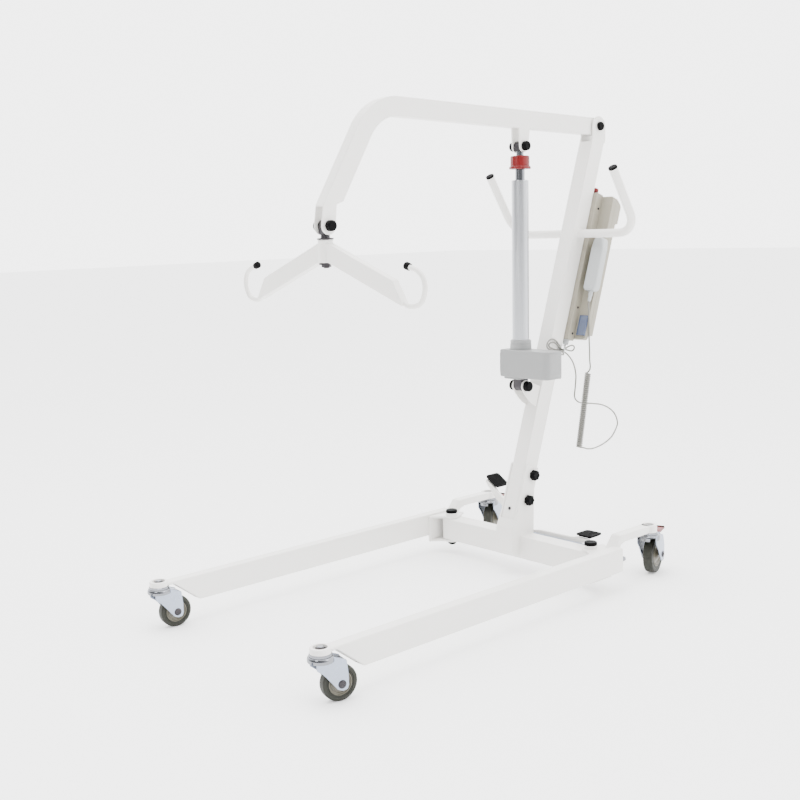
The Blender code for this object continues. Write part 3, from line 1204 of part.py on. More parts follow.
def emergency_stop(lift):
    """A mushroom button whose stem stands in a recess of the box's top."""
    x, t = STOP_PLACE
    s = BOX_TOP_S
    knob = turned([(0, s + 0.0155), (0.0095, s + 0.0155), (0.011, s + 0.0135), (0.011, s + 0.0065),
                   (STOP_STEM_RADIUS, s + 0.0055), (STOP_STEM_RADIUS, s - 0.004), (0, s - 0.004)])
    knob.transform(Matrix.Translation((x, t, 0)))
    lift.piece("emergency_stop", knob, lift.red, lift.mast, (x, t, s))


def pendant(lift):
    """The handset: a waisted body, rounded below, with its keys facing the person behind the lift."""
    left, right = PENDANT_XS
    low, high = PENDANT_BOTTOM_S, PENDANT_TOP_S
    shape = rounded([(left, low), (right + 0.001, low), (right, high - 0.030), (right - 0.004, high),
                     (left + 0.004, high), (left, high - 0.030)], [0.008, 0.010, 0.03, 0.006, 0.006, 0.03])
    body = lift.piece("pendant", plate(shape, "y", *PENDANT_TS), lift.pendant, lift.mast)
    bevel = body.modifiers.new("soft_edges", "BEVEL")
    bevel.width = 0.004
    bevel.segments = 1
    bevel.limit_method = "ANGLE"
    bevel.angle_limit = math.radians(60)
    lift.join(body, cylinder((RELIEF_X, RELIEF_T, RELIEF_BOTTOM_S), (RELIEF_X, RELIEF_T, low + 0.004), 0.0042,
                             0.0060))
    for s in BUTTON_LEVELS.values():
        lift.cut(body, box((BUTTON_X - 0.006, BUTTON_X + 0.006), (PENDANT_TS[1] - 0.004, 0.06),
                           (s - 0.010, s + 0.010)))
    for name, s in BUTTON_LEVELS.items():
        key = box((BUTTON_X - 0.0055, BUTTON_X + 0.0055), (PENDANT_TS[1] - 0.0018, PENDANT_TS[1] + 0.0012),
                  (s - 0.0095, s + 0.0095), 0.0008)
        lift.piece(name + "_button", key, lift.black, lift.mast, (BUTTON_X, PENDANT_TS[1] - 0.0018, s))


def coil_frame():
    """The curly stretch's start, its direction, and two directions square to it."""
    start, end = Vector(COIL_TOP), Vector(COIL_BOTTOM)
    along = (end - start).normalized()
    side = Vector((1, 0, 0))
    return start, along, side, side.cross(along)


def coil_route():
    """A helix that starts in line with its axis and ends square to it, with a straight run at each end."""
    start, along, side, back = coil_frame()
    radius = (COIL_DIAMETER - CORD) / 2
    pitch = (Vector(COIL_BOTTOM) - start).length / COIL_TURNS
    points = []
    for k in range(round(COIL_TURNS * COIL_POINTS) + 1):
        turns = COIL_TURNS * k / round(COIL_TURNS * COIL_POINTS)
        angle = math.radians(90) + 2 * math.pi * turns
        lead = COIL_LEAD * max(0.0, 1 - turns / 0.3) ** 3
        points.append(start + along * (pitch * turns - lead)
                      + radius * (math.cos(angle) * side + math.sin(angle) * back))
    return [points[0] - along * CORD] + points + [points[-1] + back * CORD]


def least_gap(points, diameter):
    """The smallest gap between stretches of a tube that lie at least three diameters apart along it."""
    places = np.array([tuple(p) for p in points])
    fine = np.concatenate([places[:-1] + (places[1:] - places[:-1]) * k / 4 for k in range(4)])
    order = np.argsort(np.concatenate([np.arange(len(places) - 1) + k / 4 for k in range(4)]))
    fine = fine[order]
    along = np.concatenate([[0.0], np.cumsum(np.linalg.norm(np.diff(fine, axis=0), axis=1))])
    least = math.inf
    for i in range(len(fine)):
        far = along - along[i] > 3 * diameter
        if far.any():
            least = min(least, np.linalg.norm(fine[far] - fine[i], axis=1).min())
    return least - diameter


def plug_end(name):
    y, z = from_mast(PLUG_T, PLUG_BOTTOM_S)
    return Vector((PLUG_XS[name], y, z))


def cords(lift):
    """The pendant's cord above and below its curly stretch, the motor's cable, and the tie round them."""
    mast_down = Vector((0, -math.sin(MAST_LEAN), -math.cos(MAST_LEAN)))
    _, along, _, back = coil_frame()
    coil = coil_route()
    relief = Vector((RELIEF_X, *from_mast(RELIEF_T, RELIEF_BOTTOM_S)))
    upper = [relief + mast_down * GAP, relief + mast_down * 0.008, (0.0738, 0.2130, 0.6720),
             (0.0750, 0.2115, 0.6500), (0.0752, 0.2120, 0.6030), (0.0752, 0.2135, 0.5710),
             (0.0750, 0.2140, 0.5450), coil[0] - along * (2 * GAP + CORD), coil[0] - along * 2 * GAP]
    lower = [coil[-1] + back * GAP, coil[-1] + back * (GAP + CORD), (0.0780, 0.2000, 0.3060),
             (0.0710, 0.2350, 0.3015), (0.0640, 0.2830, 0.3045), (0.0570, 0.3300, 0.3165),
             (0.0530, 0.3580, 0.3380), (0.0510, 0.3660, 0.3540), (0.0490, 0.3560, 0.3780),
             (0.0470, 0.3325, 0.3970), (0.0450, 0.3020, 0.4100), (0.0430, 0.2680, 0.4170),
             (0.0410, 0.2430, 0.4210), (0.0400, 0.2180, 0.4255), (0.0400, 0.2010, 0.4335),
             (0.0400, 0.1925, 0.4460), (0.0390, 0.1970, 0.4680), (0.0380, 0.2015, 0.4985),
             (0.0360, 0.1995, 0.5215), (0.0340, 0.1910, 0.5420), (0.0322, 0.1770, 0.5580),
             (0.0310, 0.1650, 0.5665), (0.0303, 0.1531, 0.5714), (0.0302, 0.1350, 0.5735),
             (0.0298, 0.1120, 0.5765), (0.0293, 0.0955, 0.5860), (0.0288, 0.0985, 0.5995),
             (0.0282, 0.1160, 0.6060), (0.0272, 0.1350, 0.5985), (0.0257, 0.1531, 0.5806),
             (0.0248, 0.1610, 0.5740), (0.0230, 0.1690, 0.5705)]
    lower += [plug_end("pendant") + mast_down * 0.0095, plug_end("pendant") + mast_down * GAP]
    motor = [plug_end("motor") + mast_down * GAP, plug_end("motor") + mast_down * 0.010,
             (0.0030, 0.1740, 0.5635), (0.0120, 0.1745, 0.5590), (0.0215, 0.1710, 0.5600),
             (0.0252, 0.1630, 0.5660), (0.0257, 0.1531, 0.5714), (0.0258, 0.1380, 0.5745),
             (0.0262, 0.1220, 0.5800), (0.0266, 0.1080, 0.5860), (0.0270, 0.1045, 0.5925),
             (0.0280, 0.1130, 0.5975), (0.0292, 0.1260, 0.5955), (0.0302, 0.1400, 0.5860),
             (0.0303, 0.1531, 0.5760), (0.0305, 0.1660, 0.5745), (0.0315, 0.1800, 0.5705),
             (0.0330, 0.1910, 0.5685), (0.0345, 0.1985, 0.5725), (0.0352, 0.1985, 0.5795),
             (0.0355, 0.1900, 0.5835), (0.0355, 0.1770, 0.5825), (0.0352, 0.1650, 0.5785),
             (0.0349, 0.1531, 0.5737), (0.0358, 0.1380, 0.5690), (0.0370, 0.1180, 0.5660),
             (0.0370, 0.0950, 0.5640)]
    inlet = lift.actuator.matrix_local @ Vector((INLET_PLACE[0], HOUSING_REAR - INLET_CORD_DEPTH,
                                                 INLET_PLACE[1]))
    motor += [inlet + Vector((0, 0.010, 0)), inlet]
    for name, route in (("pendant_cord_upper", upper), ("pendant_cord_lower", lower), ("motor_cable", motor)):
        lift.piece(name, tube(smooth_route(route, CORD_SPACING), CORD / 2, 2), lift.cord)
    lift.piece("pendant_cord_coil", tube(coil, CORD / 2, 1), lift.cord)
    print(f"least gap between the curly cord's turns: {least_gap(coil, CORD) * 1000:.2f} mm")


def cable_tie(lift):
    """The flat band that holds the slack loops of both cords beside the mast."""
    xs, zs, thick = (0.0233, 0.0380), (0.5680, 0.5868), 0.0010
    y = 0.1531
    inner = rounded([(xs[0], zs[0]), (xs[1], zs[0]), (xs[1], zs[1]), (xs[0], zs[1])], 0.0025)
    outer = rounded([(xs[0] - thick, zs[0] - thick), (xs[1] + thick, zs[0] - thick),
                     (xs[1] + thick, zs[1] + thick), (xs[0] - thick, zs[1] + thick)], 0.0035)
    band = combined("DIFFERENCE", plate(outer, "y", y - 0.0015, y + 0.0015),
                    plate(inner, "y", y - 0.01, y + 0.01))
    lift.piece("cable_tie", band, lift.pendant)


def build():
    lift = Lift()
    base_frame(lift)
    pivot_bolts(lift)
    for side in SIDES:
        leg(lift, side)
        for end in ("front", "rear"):
            caster(lift, end, side)
    mast(lift)
    mast_bolts(lift)
    push_handle(lift)
    boom(lift)
    boom_pivot_bolt(lift)
    actuator(lift)
    actuator_pins(lift)
    swing_bracket(lift)
    spreader_bar(lift)
    pedal_rocker(lift)
    pedal_pads(lift)
    tie_rods(lift)
    control_box(lift)
    battery_pack(lift)
    emergency_stop(lift)
    pendant(lift)
    cords(lift)
    cable_tie(lift)


for leftover in list(bpy.data.objects):
    bpy.data.objects.remove(leftover)
build()
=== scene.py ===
"""The looks of a mobile patient lift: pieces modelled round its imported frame, their finishes, the camera
and the light. Metres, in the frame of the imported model."""

import math

import bpy
import numpy as np
from bpy.props import FloatProperty, FloatVectorProperty, IntProperty, PointerProperty
from mathutils import Matrix, Vector


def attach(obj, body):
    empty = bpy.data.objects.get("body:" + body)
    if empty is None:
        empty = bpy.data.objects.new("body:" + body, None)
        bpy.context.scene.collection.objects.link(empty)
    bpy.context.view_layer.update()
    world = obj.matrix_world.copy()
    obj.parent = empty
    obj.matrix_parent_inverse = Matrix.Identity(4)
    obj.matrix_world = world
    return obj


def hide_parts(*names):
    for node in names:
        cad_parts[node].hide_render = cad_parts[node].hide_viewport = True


bl_info = {
    "name": "Patient lift looks",
    "version": (1, 0, 0),
    "blender": (4, 5, 0),
    "location": "View3D > Sidebar > Patient lift",
    "description": "Models and finishes the pieces of a mobile patient lift round its packed frame",
    "category": "Object",
}

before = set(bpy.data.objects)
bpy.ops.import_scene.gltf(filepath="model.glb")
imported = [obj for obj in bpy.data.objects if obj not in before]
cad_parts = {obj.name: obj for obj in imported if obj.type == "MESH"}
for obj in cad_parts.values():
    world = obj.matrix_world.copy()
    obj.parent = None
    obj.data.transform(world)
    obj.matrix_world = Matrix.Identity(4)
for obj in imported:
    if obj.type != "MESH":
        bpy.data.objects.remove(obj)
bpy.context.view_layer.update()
GAP = 0.0003
SIDES = {"left": -1, "right": 1}

# Frames of the lift's groups: the lift, its mast (t back, s up), boom (v back, w up) and actuator (h up)
MAST_LEAN = math.radians(18.8)
MAST_FOOT_Y = -0.0594
BOOM_PIVOT = (0.327, 1.161)
BOOM_SLOPE = math.radians(1.5)
ACTUATOR_BOTTOM = (0.0235, 0.4911)
ACTUATOR_TOP = (0.0319, 1.1023)
ACTUATOR_LENGTH = math.dist(ACTUATOR_BOTTOM, ACTUATOR_TOP)
ACTUATOR_LEAN = math.atan2(ACTUATOR_TOP[0] - ACTUATOR_BOTTOM[0], ACTUATOR_TOP[1] - ACTUATOR_BOTTOM[1])
LIFT = Matrix.Translation((0, 0.278, 0))
MAST = LIFT @ Matrix.Translation((0, MAST_FOOT_Y, 0)) @ Matrix.Rotation(-MAST_LEAN, 4, "X")
BOOM = LIFT @ Matrix.Translation((0, *BOOM_PIVOT)) @ Matrix.Rotation(-BOOM_SLOPE, 4, "X")
ACTUATOR = LIFT @ Matrix.Translation((0, *ACTUATOR_BOTTOM)) @ Matrix.Rotation(-ACTUATOR_LEAN, 4, "X")

# Casters: place across and along the lift, heading in degrees, wheel radius, tread, trail and mount height
CASTERS = {
    "front_left": (-0.3022, -0.8989, 83.3, 0.0375, 0.024, 0.0358, 0.104),
    "front_right": (0.3022, -0.8989, 77.1, 0.0375, 0.024, 0.0358, 0.104),
    "rear_left": (-0.2833, 0.1895, 108.0, 0.05, 0.028, 0.036, 0.1167),
    "rear_right": (0.2833, 0.1895, 108.0, 0.05, 0.028, 0.036, 0.1167),
}
# The brake pedal's hinge in a rear caster's own (y, z)
BRAKE_HINGE = (0.0265, 0.107)
LEG_X = 0.2999
LEG_HALF = 0.015
LEG_PIVOT_X = 0.2452
# The pin on each leg that its tie rod pulls: its distance from the leg's pivot, and its place
TIE_ARM = 0.04
TIE_LEAN = math.radians(6.25)
TIE_PIN = (LEG_PIVOT_X + TIE_ARM * math.sin(TIE_LEAN), TIE_ARM * math.cos(TIE_LEAN))
MAST_HALF_WIDTH = 0.022
MAST_HALF_DEPTH = 0.025
SWING_PIN = (-0.607, 0.916)
# The boom's bend: where its middle lines would meet, its radius along them, and the fall after it
BOOM_CORNER = -0.786
BOOM_RADIUS = 0.12
BOOM_FALL = math.radians(60)
SPREADER_TOP_Z = 0.886
SPREADER_BOTTOM_Z = 0.836
SPREADER_SLOPE = math.radians(20.5)
HOOK_END = (0.27, 0.8275)
HOOK_BEFORE_END = (0.293, 0.82)
ROCKER_Z = 0.08
ROCKER_SWING = math.radians(33.0)
# The push handle: half its span, its place in the mast's (t, s), its ends' (y, z), its radius and its bends'
HANDLE_X = 0.2078
HANDLE_BAR = (0.003, 0.928)
HANDLE_END = (0.142, 1.0365)
HANDLE_RADIUS = 0.011
HANDLE_BEND = 0.06
# The control box: its spine's top, and the place of the stop button on it in the mast's (x, t)
BOX_TOP = 1.05
STOP_PLACE = (0.012, 0.0371)
CORD = 0.0042


def to_linear(hex_colour):
    """An sRGB hex colour as the three linear values that a shader takes."""
    values = [int(hex_colour[i:i + 2], 16) / 255 for i in (0, 2, 4)]
    return [v / 12.92 if v <= 0.04045 else ((v + 0.055) / 1.055) ** 2.4 for v in values]


def colour_property(name, description, hex_colour):
    return FloatVectorProperty(name=name, description=description, default=to_linear(hex_colour), size=3,
                               min=0.0, max=1.0, subtype="COLOR")


def size_property(name, description, metres, largest):
    return FloatProperty(name=name, description=description, default=metres, min=0.0, max=largest,
                         subtype="DISTANCE", unit="LENGTH", precision=4)


class PatientLiftColours(bpy.types.PropertyGroup):
    """Colours of the lift's finishes."""
    paint: colour_property("Powder coat", "Warm white of the steel frame", "E6E4E0")
    black: colour_property("Black plastic", "Knobs, caps and pads", "070708")
    zinc: colour_property("Zinc plate", "Caster forks and tie rods", "98A1B2")
    chrome: colour_property("Chrome", "Caster crowns and stems, end screws and the actuator's rod", "7E8085")
    steel: colour_property("Dark steel", "Swing bracket, pin eyes, nuts and bolts", "26262B")
    tread: colour_property("Caster tread", "Olive grey tyres", "18190F")
    hub: colour_property("Wheel hub", "Beige wheel centres", "5C584B")
    aluminium: colour_property("Actuator tube", "Anodised aluminium", "B4B6BA")
    motor: colour_property("Motor housing", "Mid grey moulding", "848585")
    box: colour_property("Control box", "Beige grey mouldings", "918C7E")
    pendant: colour_property("Pendant", "Pale grey handset", "A9ACAD")
    cord: colour_property("Cords", "Light grey sheath", "72716B")
    red: colour_property("Red parts", "Lowering collar, stop button and brakes", "66080A")
    cover: colour_property("Socket cover", "Bluish glossy cover under the box", "434F6B")
    floor: colour_property("Floor", "Pale studio floor", "FAFAFA")


class PatientLiftSizes(bpy.types.PropertyGroup):
    """Sizes that finish the pieces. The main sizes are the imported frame's own."""
    tube_edge: size_property("Tube edge", "Radius on the edges of the steel tubes", 0.0028, 0.006)
    sheet_edge: size_property("Sheet edge", "Radius on the edges of steel sheet and plate", 0.0007, 0.002)
    moulding_edge: size_property("Moulding edge", "Radius on the edges of the housings", 0.0035, 0.006)
    weld_bead: size_property("Weld bead", "Radius of the painted weld beads", 0.0014, 0.004)
    round_steps: IntProperty(name="Steps of a turn", description="Faces round a turned piece", default=48,
                             min=12, max=96)
    light_power: FloatProperty(name="Light", description="Power that the three soft lights share out",
                               default=30.0, min=0.0, max=500.0, subtype="POWER", unit="POWER")


def sizes():
    """The sizes that the sidebar shows."""
    return bpy.context.scene.patient_lift_sizes


def to_mast(y, z):
    """A point of the lift's (y, z) plane as (t, s) in the mast's frame."""
    dy = y - MAST_FOOT_Y
    return (dy * math.cos(MAST_LEAN) - z * math.sin(MAST_LEAN),
            dy * math.sin(MAST_LEAN) + z * math.cos(MAST_LEAN))


def from_mast(t, s):
    """A point of the mast's frame as (y, z) of the lift."""
    return (MAST_FOOT_Y + t * math.cos(MAST_LEAN) + s * math.sin(MAST_LEAN),
            s * math.cos(MAST_LEAN) - t * math.sin(MAST_LEAN))


def to_boom(y, z):
    """A point of the lift's (y, z) plane as (along, up) in the boom's frame."""
    dy, dz = y - BOOM_PIVOT[0], z - BOOM_PIVOT[1]
    return (dy * math.cos(BOOM_SLOPE) - dz * math.sin(BOOM_SLOPE),
            dy * math.sin(BOOM_SLOPE) + dz * math.cos(BOOM_SLOPE))


def caster_frame(tag):
    """Where a caster stands and which way it points; its own origin is on the floor."""
    x, y, heading = CASTERS[tag][:3]
    return LIFT @ Matrix.Translation((x, y, 0)) @ Matrix.Rotation(math.radians(heading - 90), 4, "Z")


# Outlines and routes

def arc(centre, radius, start_deg, end_deg, steps=12):
    """Points along an arc, both ends included."""
    angles = np.radians(np.linspace(start_deg, end_deg, steps + 1))
    return [(centre[0] + radius * math.cos(a), centre[1] + radius * math.sin(a)) for a in angles]


def rounded(corners, radii, steps=5):
    """The outline with an arc at each corner; a corner of radius 0 stays sharp."""
    radii = radii if isinstance(radii, (list, tuple)) else [radii] * len(corners)
    points = []
    for i, corner in enumerate(corners):
        here = Vector(corner)
        back = Vector(corners[i - 1]) - here
        ahead = Vector(corners[(i + 1) % len(corners)]) - here
        if radii[i] <= 0:
            points.append(tuple(here))
            continue
        half = back.angle(ahead) / 2
        reach = min(radii[i] / math.tan(half), back.length * 0.49, ahead.length * 0.49)
        fillet = reach * math.tan(half)
        back.normalize()
        ahead.normalize()
        centre = here + (back + ahead).normalized() * fillet / math.sin(half)
        first, last = here + back * reach - centre, here + ahead * reach - centre
        turn = first.angle_signed(last)
        for k in range(steps + 1):
            arm = first.copy()
            arm.rotate(Matrix.Rotation(-turn * k / steps, 2))
            points.append(tuple(centre + arm))
    return points


def filleted_path(points, radius, steps=12):
    """A route of straight runs with an arc at each inner corner."""
    path = [Vector(points[0])]
    for before, corner, after in zip(points, points[1:], points[2:]):
        before, corner, after = Vector(before), Vector(corner), Vector(after)
        back, ahead = (before - corner).normalized(), (after - corner).normalized()
        half = back.angle(ahead) / 2
        reach = radius / math.tan(half)
        centre = corner + (back + ahead).normalized() * radius / math.sin(half)
        first, last = corner + back * reach - centre, corner + ahead * reach - centre
        for k in range(steps + 1):
            path.append(centre + first.normalized().slerp(last.normalized(), k / steps) * radius)
    path.append(Vector(points[-1]))
    return path


def smooth_route(points, spacing):
    """Points at an even spacing along a smooth curve through the given ones."""
    knots = [Vector(p) for p in points]
    ends = [knots[0] * 2 - knots[1]] + knots + [knots[-1] * 2 - knots[-2]]
    dense = []
    for a, b, c, d in zip(ends, ends[1:], ends[2:], ends[3:]):
        for k in range(16):
            u = k / 16
            dense.append(0.5 * ((2 * b) + (c - a) * u + (2 * a - 5 * b + 4 * c - d) * u * u
                                + (3 * b - a - 3 * c + d) * u ** 3))
    dense.append(knots[-1])
    lengths = np.cumsum([0.0] + [(q - p).length for p, q in zip(dense, dense[1:])])
    count = max(3, round(lengths[-1] / spacing) + 1)
    coords = np.array([tuple(p) for p in dense])
    wanted = np.linspace(0, lengths[-1], count)
    return [Vector([np.interp(w, lengths, coords[:, i]) for i in range(3)]) for w in wanted]


# Modelling with the edit tools

def select(*objects):
    """Leaves only these objects selected, with the last one active."""
    bpy.ops.object.select_all(action="DESELECT")
    for obj in objects:
        obj.select_set(True)
    if objects:
        bpy.context.view_layer.objects.active = objects[-1]


def draw(points, closed):
    """A run of vertices from point to point, left in edit mode, and filled with a face if it is closed."""
    select()
    bpy.ops.mesh.primitive_plane_add(size=0.001, location=points[0])
    bpy.ops.object.mode_set(mode="EDIT")
    bpy.ops.mesh.select_mode(type="VERT")
    bpy.ops.mesh.merge(type="CENTER")
    for here, there in zip(points, points[1:]):
        step = Vector(there) - Vector(here)
        bpy.ops.mesh.extrude_vertices_move(TRANSFORM_OT_translate={"value": step})
    if closed:
        bpy.ops.mesh.select_all(action="SELECT")
        bpy.ops.mesh.edge_face_add()


def shut():
    """Merges doubles, turns all faces outwards and leaves edit mode."""
    bpy.ops.mesh.select_all(action="SELECT")
    bpy.ops.mesh.remove_doubles(threshold=0.00001)
    bpy.ops.mesh.normals_make_consistent(inside=False)
    bpy.ops.object.mode_set(mode="OBJECT")
    return bpy.context.object


def slab(outline, axis, low, high):
    """An outline drawn square to an axis and extruded along it; its points are (y, z), (x, z) or (x, y)."""
    if axis == "x":
        points, along = [(low, a, b) for a, b in outline], (high - low, 0, 0)
    elif axis == "y":
        points, along = [(a, low, b) for a, b in outline], (0, high - low, 0)
    else:
        points, along = [(a, b, low) for a, b in outline], (0, 0, high - low)
    draw(points, True)
    bpy.ops.mesh.extrude_region_move(TRANSFORM_OT_translate={"value": along})
    return shut()


def block(xs, ys, zs):
    """A cube scaled to its place, for a piece that is bevelled, carved or welded on."""
    select()
    centre = [(a + b) / 2 for a, b in (xs, ys, zs)]
    bpy.ops.mesh.primitive_cube_add(size=1.0, location=centre, scale=[b - a for a, b in (xs, ys, zs)])
    bpy.ops.object.transform_apply(location=False, rotation=False, scale=True)
    return bpy.context.object


def turned(profile, place=None, steps=None):
    """A profile of (radius, height) spun about Z and moved to its place."""
    draw([(r, 0, h) for r, h in profile], False)
    bpy.ops.mesh.select_all(action="SELECT")
    bpy.ops.mesh.spin(steps=steps or sizes().round_steps, angle=math.tau, center=(0, 0, 0), axis=(0, 0, 1))
    made = shut()
    return put(made, place) if place is not None else made


def round_curve(name, points, radius, resolution):
    """A curve along a route with a round section and closed ends."""
    curve = bpy.data.curves.new(name, "CURVE")
    curve.dimensions = "3D"
    curve.bevel_depth = radius
    curve.bevel_resolution = resolution
    curve.use_fill_caps = True
    spline = curve.splines.new("POLY")
    spline.points.add(len(points) - 1)
    for point, place in zip(spline.points, points):
        point.co = (*place, 1.0)
    obj = bpy.data.objects.new(name, curve)
    bpy.context.scene.collection.objects.link(obj)
    return obj


def pipe(points, radius, resolution):
    """A round bar, tube or bead along a route, made a mesh."""
    select(round_curve("pipe", points, radius, resolution))
    bpy.ops.object.convert(target="MESH")
    bpy.ops.object.mode_set(mode="EDIT")
    return shut()


def put(obj, place):
    """Moves a piece by a matrix and brings its place into its mesh."""
    obj.matrix_world = place @ obj.matrix_world
    select(obj)
    bpy.ops.object.transform_apply(location=True, rotation=True, scale=True)
    return obj


def apply(obj, kind, **settings):
    """Adds a modifier with its settings and applies it."""
    modifier = obj.modifiers.new(kind.lower(), kind)
    for key, value in settings.items():
        setattr(modifier, key, value)
    select(obj)
    bpy.ops.object.modifier_apply(modifier=modifier.name)
    return obj


def soften(obj, width, segments=2, angle=32):
    """Rounds the edges that are sharper than an angle."""
    return apply(obj, "BEVEL", width=width, segments=segments, limit_method="ANGLE",
                 angle_limit=math.radians(angle), use_clamp_overlap=False)


def carve(obj, *tools, operation="DIFFERENCE"):
    """Cuts each tool out of a piece, or joins it to the piece, and removes the tool."""
    for tool in tools:
        apply(obj, "BOOLEAN", operation=operation, solver="EXACT", object=tool)
        bpy.data.objects.remove(tool)
    return obj


def gather(first, *others):
    """Joins pieces that stand in each other or are welded together into one object."""
    select(*others, first)
    bpy.ops.object.join()
    return first


def doubled(obj):
    """A copy with its own mesh."""
    copy = obj.copy()
    copy.data = obj.data.copy()
    bpy.context.scene.collection.objects.link(copy)
    return copy


def mirrored(obj):
    """A copy mirrored to the lift's other side."""
    copy = put(doubled(obj), Matrix.Diagonal((-1, 1, 1, 1)))
    select(copy)
    bpy.ops.object.mode_set(mode="EDIT")
    bpy.ops.mesh.select_all(action="SELECT")
    bpy.ops.mesh.flip_normals()
    bpy.ops.object.mode_set(mode="OBJECT")
    return copy


def flute(obj, count, depth, beyond):
    """Draws lobes into a turned piece round Z: vertices past a radius move in and out with their angle."""
    for vertex in obj.data.vertices:
        x, y = vertex.co.xy
        radius = math.hypot(x, y)
        if radius > beyond:
            swing = depth * (math.cos(count * math.atan2(y, x)) - 1) / 2
            vertex.co.xy = Vector((x, y)) * (1 + swing / radius)
    return obj


def done(name, obj, finish, body, *nodes, place=LIFT, smooth=40):
    """Puts a finished piece in its place, names and shades it, and says what it rides on and stands for."""
    put(obj, place)
    bpy.ops.object.shade_smooth_by_angle(angle=math.radians(smooth))
    apply(obj, "WEIGHTED_NORMAL", keep_sharp=True)
    obj.name = name
    obj.data.name = name
    material, slot = finishes[finish]
    obj.data.materials.clear()
    obj.data.materials.append(material)
    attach(obj, body)
    if nodes:
        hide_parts(*nodes)
    return obj


# What turns a piece that was made upright: to lie along X, or with its top to the lift's front or rear
ALONG_X = Matrix.Rotation(math.radians(90), 4, "Y")
FORWARD = Matrix.Rotation(math.radians(90), 4, "X")
BACKWARD = FORWARD.inverted()


def at(*place):
    return Matrix.Translation(place)


def outward(sign):
    """Turns an upright piece's top to the lift's right or left."""
    return Matrix.Rotation(math.radians(90 * sign), 4, "Y")


def towards(place, way):
    """Stands an upright piece at a place with its top along a direction."""
    return Matrix.Translation(place) @ way.to_track_quat("Z", "Y").to_matrix().to_4x4()


def domed(radius, low, high, edge):
    """The profile of a button or cap with a rounded rim, from its top's middle down to its flat underside."""
    rim = arc((radius - edge, high - edge), edge, 90, 0, 4)
    return [(0, high)] + rim + [(radius, low), (0, low)]


# Finishes

# The colour sockets of a Mix node, which share their names with its other sockets
MIX_A, MIX_B, MIX_RESULT = 6, 7, 2
finishes = {}


def add(tree, kind, links=None, values=None, **settings):
    """A node with its settings, its sockets' values, and the outputs that feed its sockets."""
    made = tree.nodes.new(kind)
    for key, value in settings.items():
        setattr(made, key, value)
    for key, value in (values or {}).items():
        made.inputs[key].default_value = value
    for key, source in (links or {}).items():
        tree.links.new(source, made.inputs[key])
    return made


def start(name, colour, roughness, metallic=0.0, **sockets):
    """A material with its shader's plain values set; returns both, and the piece's own coordinates."""
    made = bpy.data.materials.new(name)
    made.use_nodes = True
    shader = made.node_tree.nodes["Principled BSDF"]
    shader.inputs["Base Color"].default_value = (*colour, 1.0)
    shader.inputs["Roughness"].default_value = roughness
    shader.inputs["Metallic"].default_value = metallic
    for key, value in sockets.items():
        shader.inputs[key.replace("_", " ")].default_value = value
    made.diffuse_color = (*colour, 1.0)
    place = add(made.node_tree, "ShaderNodeTexCoord").outputs["Object"]
    return made, shader, place


def vary(made, shader, field, light, dark, smooth, rough):
    """Runs the colour between two shades and the roughness between two values by a field from 0 to 1."""
    tree = made.node_tree
    shades = {MIX_A: (*light, 1.0), MIX_B: (*dark, 1.0)}
    tone = add(tree, "ShaderNodeMix", {0: field}, shades, data_type="RGBA")
    tree.links.new(tone.outputs[MIX_RESULT], shader.inputs["Base Color"])
    spread = add(tree, "ShaderNodeMapRange", {"Value": field}, {"To Min": smooth, "To Max": rough})
    tree.links.new(spread.outputs["Result"], shader.inputs["Roughness"])


def emboss(made, shader, field, depth):
    """Raises the surface by a field; depth in metres."""
    bump = add(made.node_tree, "ShaderNodeBump", {"Height": field}, {"Strength": 1.0, "Distance": depth})
    made.node_tree.links.new(bump.outputs["Normal"], shader.inputs["Normal"])


def shaded(colour, factor):
    """A colour made lighter or darker."""
    return [min(1.0, c * factor) for c in colour]


def powder_coat(colours):
    # Polyester powder coat baked on steel: satin, with an orange peel of about 2 mm and soft clouding
    made, shader, place = start("satin_powder_coat", colours.paint, 0.36, Coat_Weight=0.15,
                                Coat_Roughness=0.22)
    tree = made.node_tree
    cloud = add(tree, "ShaderNodeTexNoise", {"Vector": place}, {"Scale": 1 / 0.12, "Detail": 3.0})
    vary(made, shader, cloud.outputs["Fac"], colours.paint, shaded(colours.paint, 0.955), 0.3, 0.42)
    peel = add(tree, "ShaderNodeTexNoise", {"Vector": place}, {"Scale": 1 / 0.0022, "Detail": 1.0})
    emboss(made, shader, peel.outputs["Fac"], 0.00006)
    return made, "white_powder_coat"


def moulded(name, colour, slot, roughness, grain, depth, **sockets):
    # Injection moulding with a spark-eroded grain: matt, with a cloud of 45 mm where the surface is lighter
    made, shader, place = start(name, colour, roughness, **sockets)
    tree = made.node_tree
    cloud = add(tree, "ShaderNodeTexNoise", {"Vector": place}, {"Scale": 1 / 0.045, "Detail": 4.0})
    vary(made, shader, cloud.outputs["Fac"], shaded(colour, 1.06), shaded(colour, 0.93), roughness - 0.06,
         roughness + 0.06)
    spark = add(tree, "ShaderNodeTexVoronoi", {"Vector": place}, {"Scale": 1 / grain}, feature="SMOOTH_F1")
    emboss(made, shader, spark.outputs["Distance"], depth)
    return made, slot


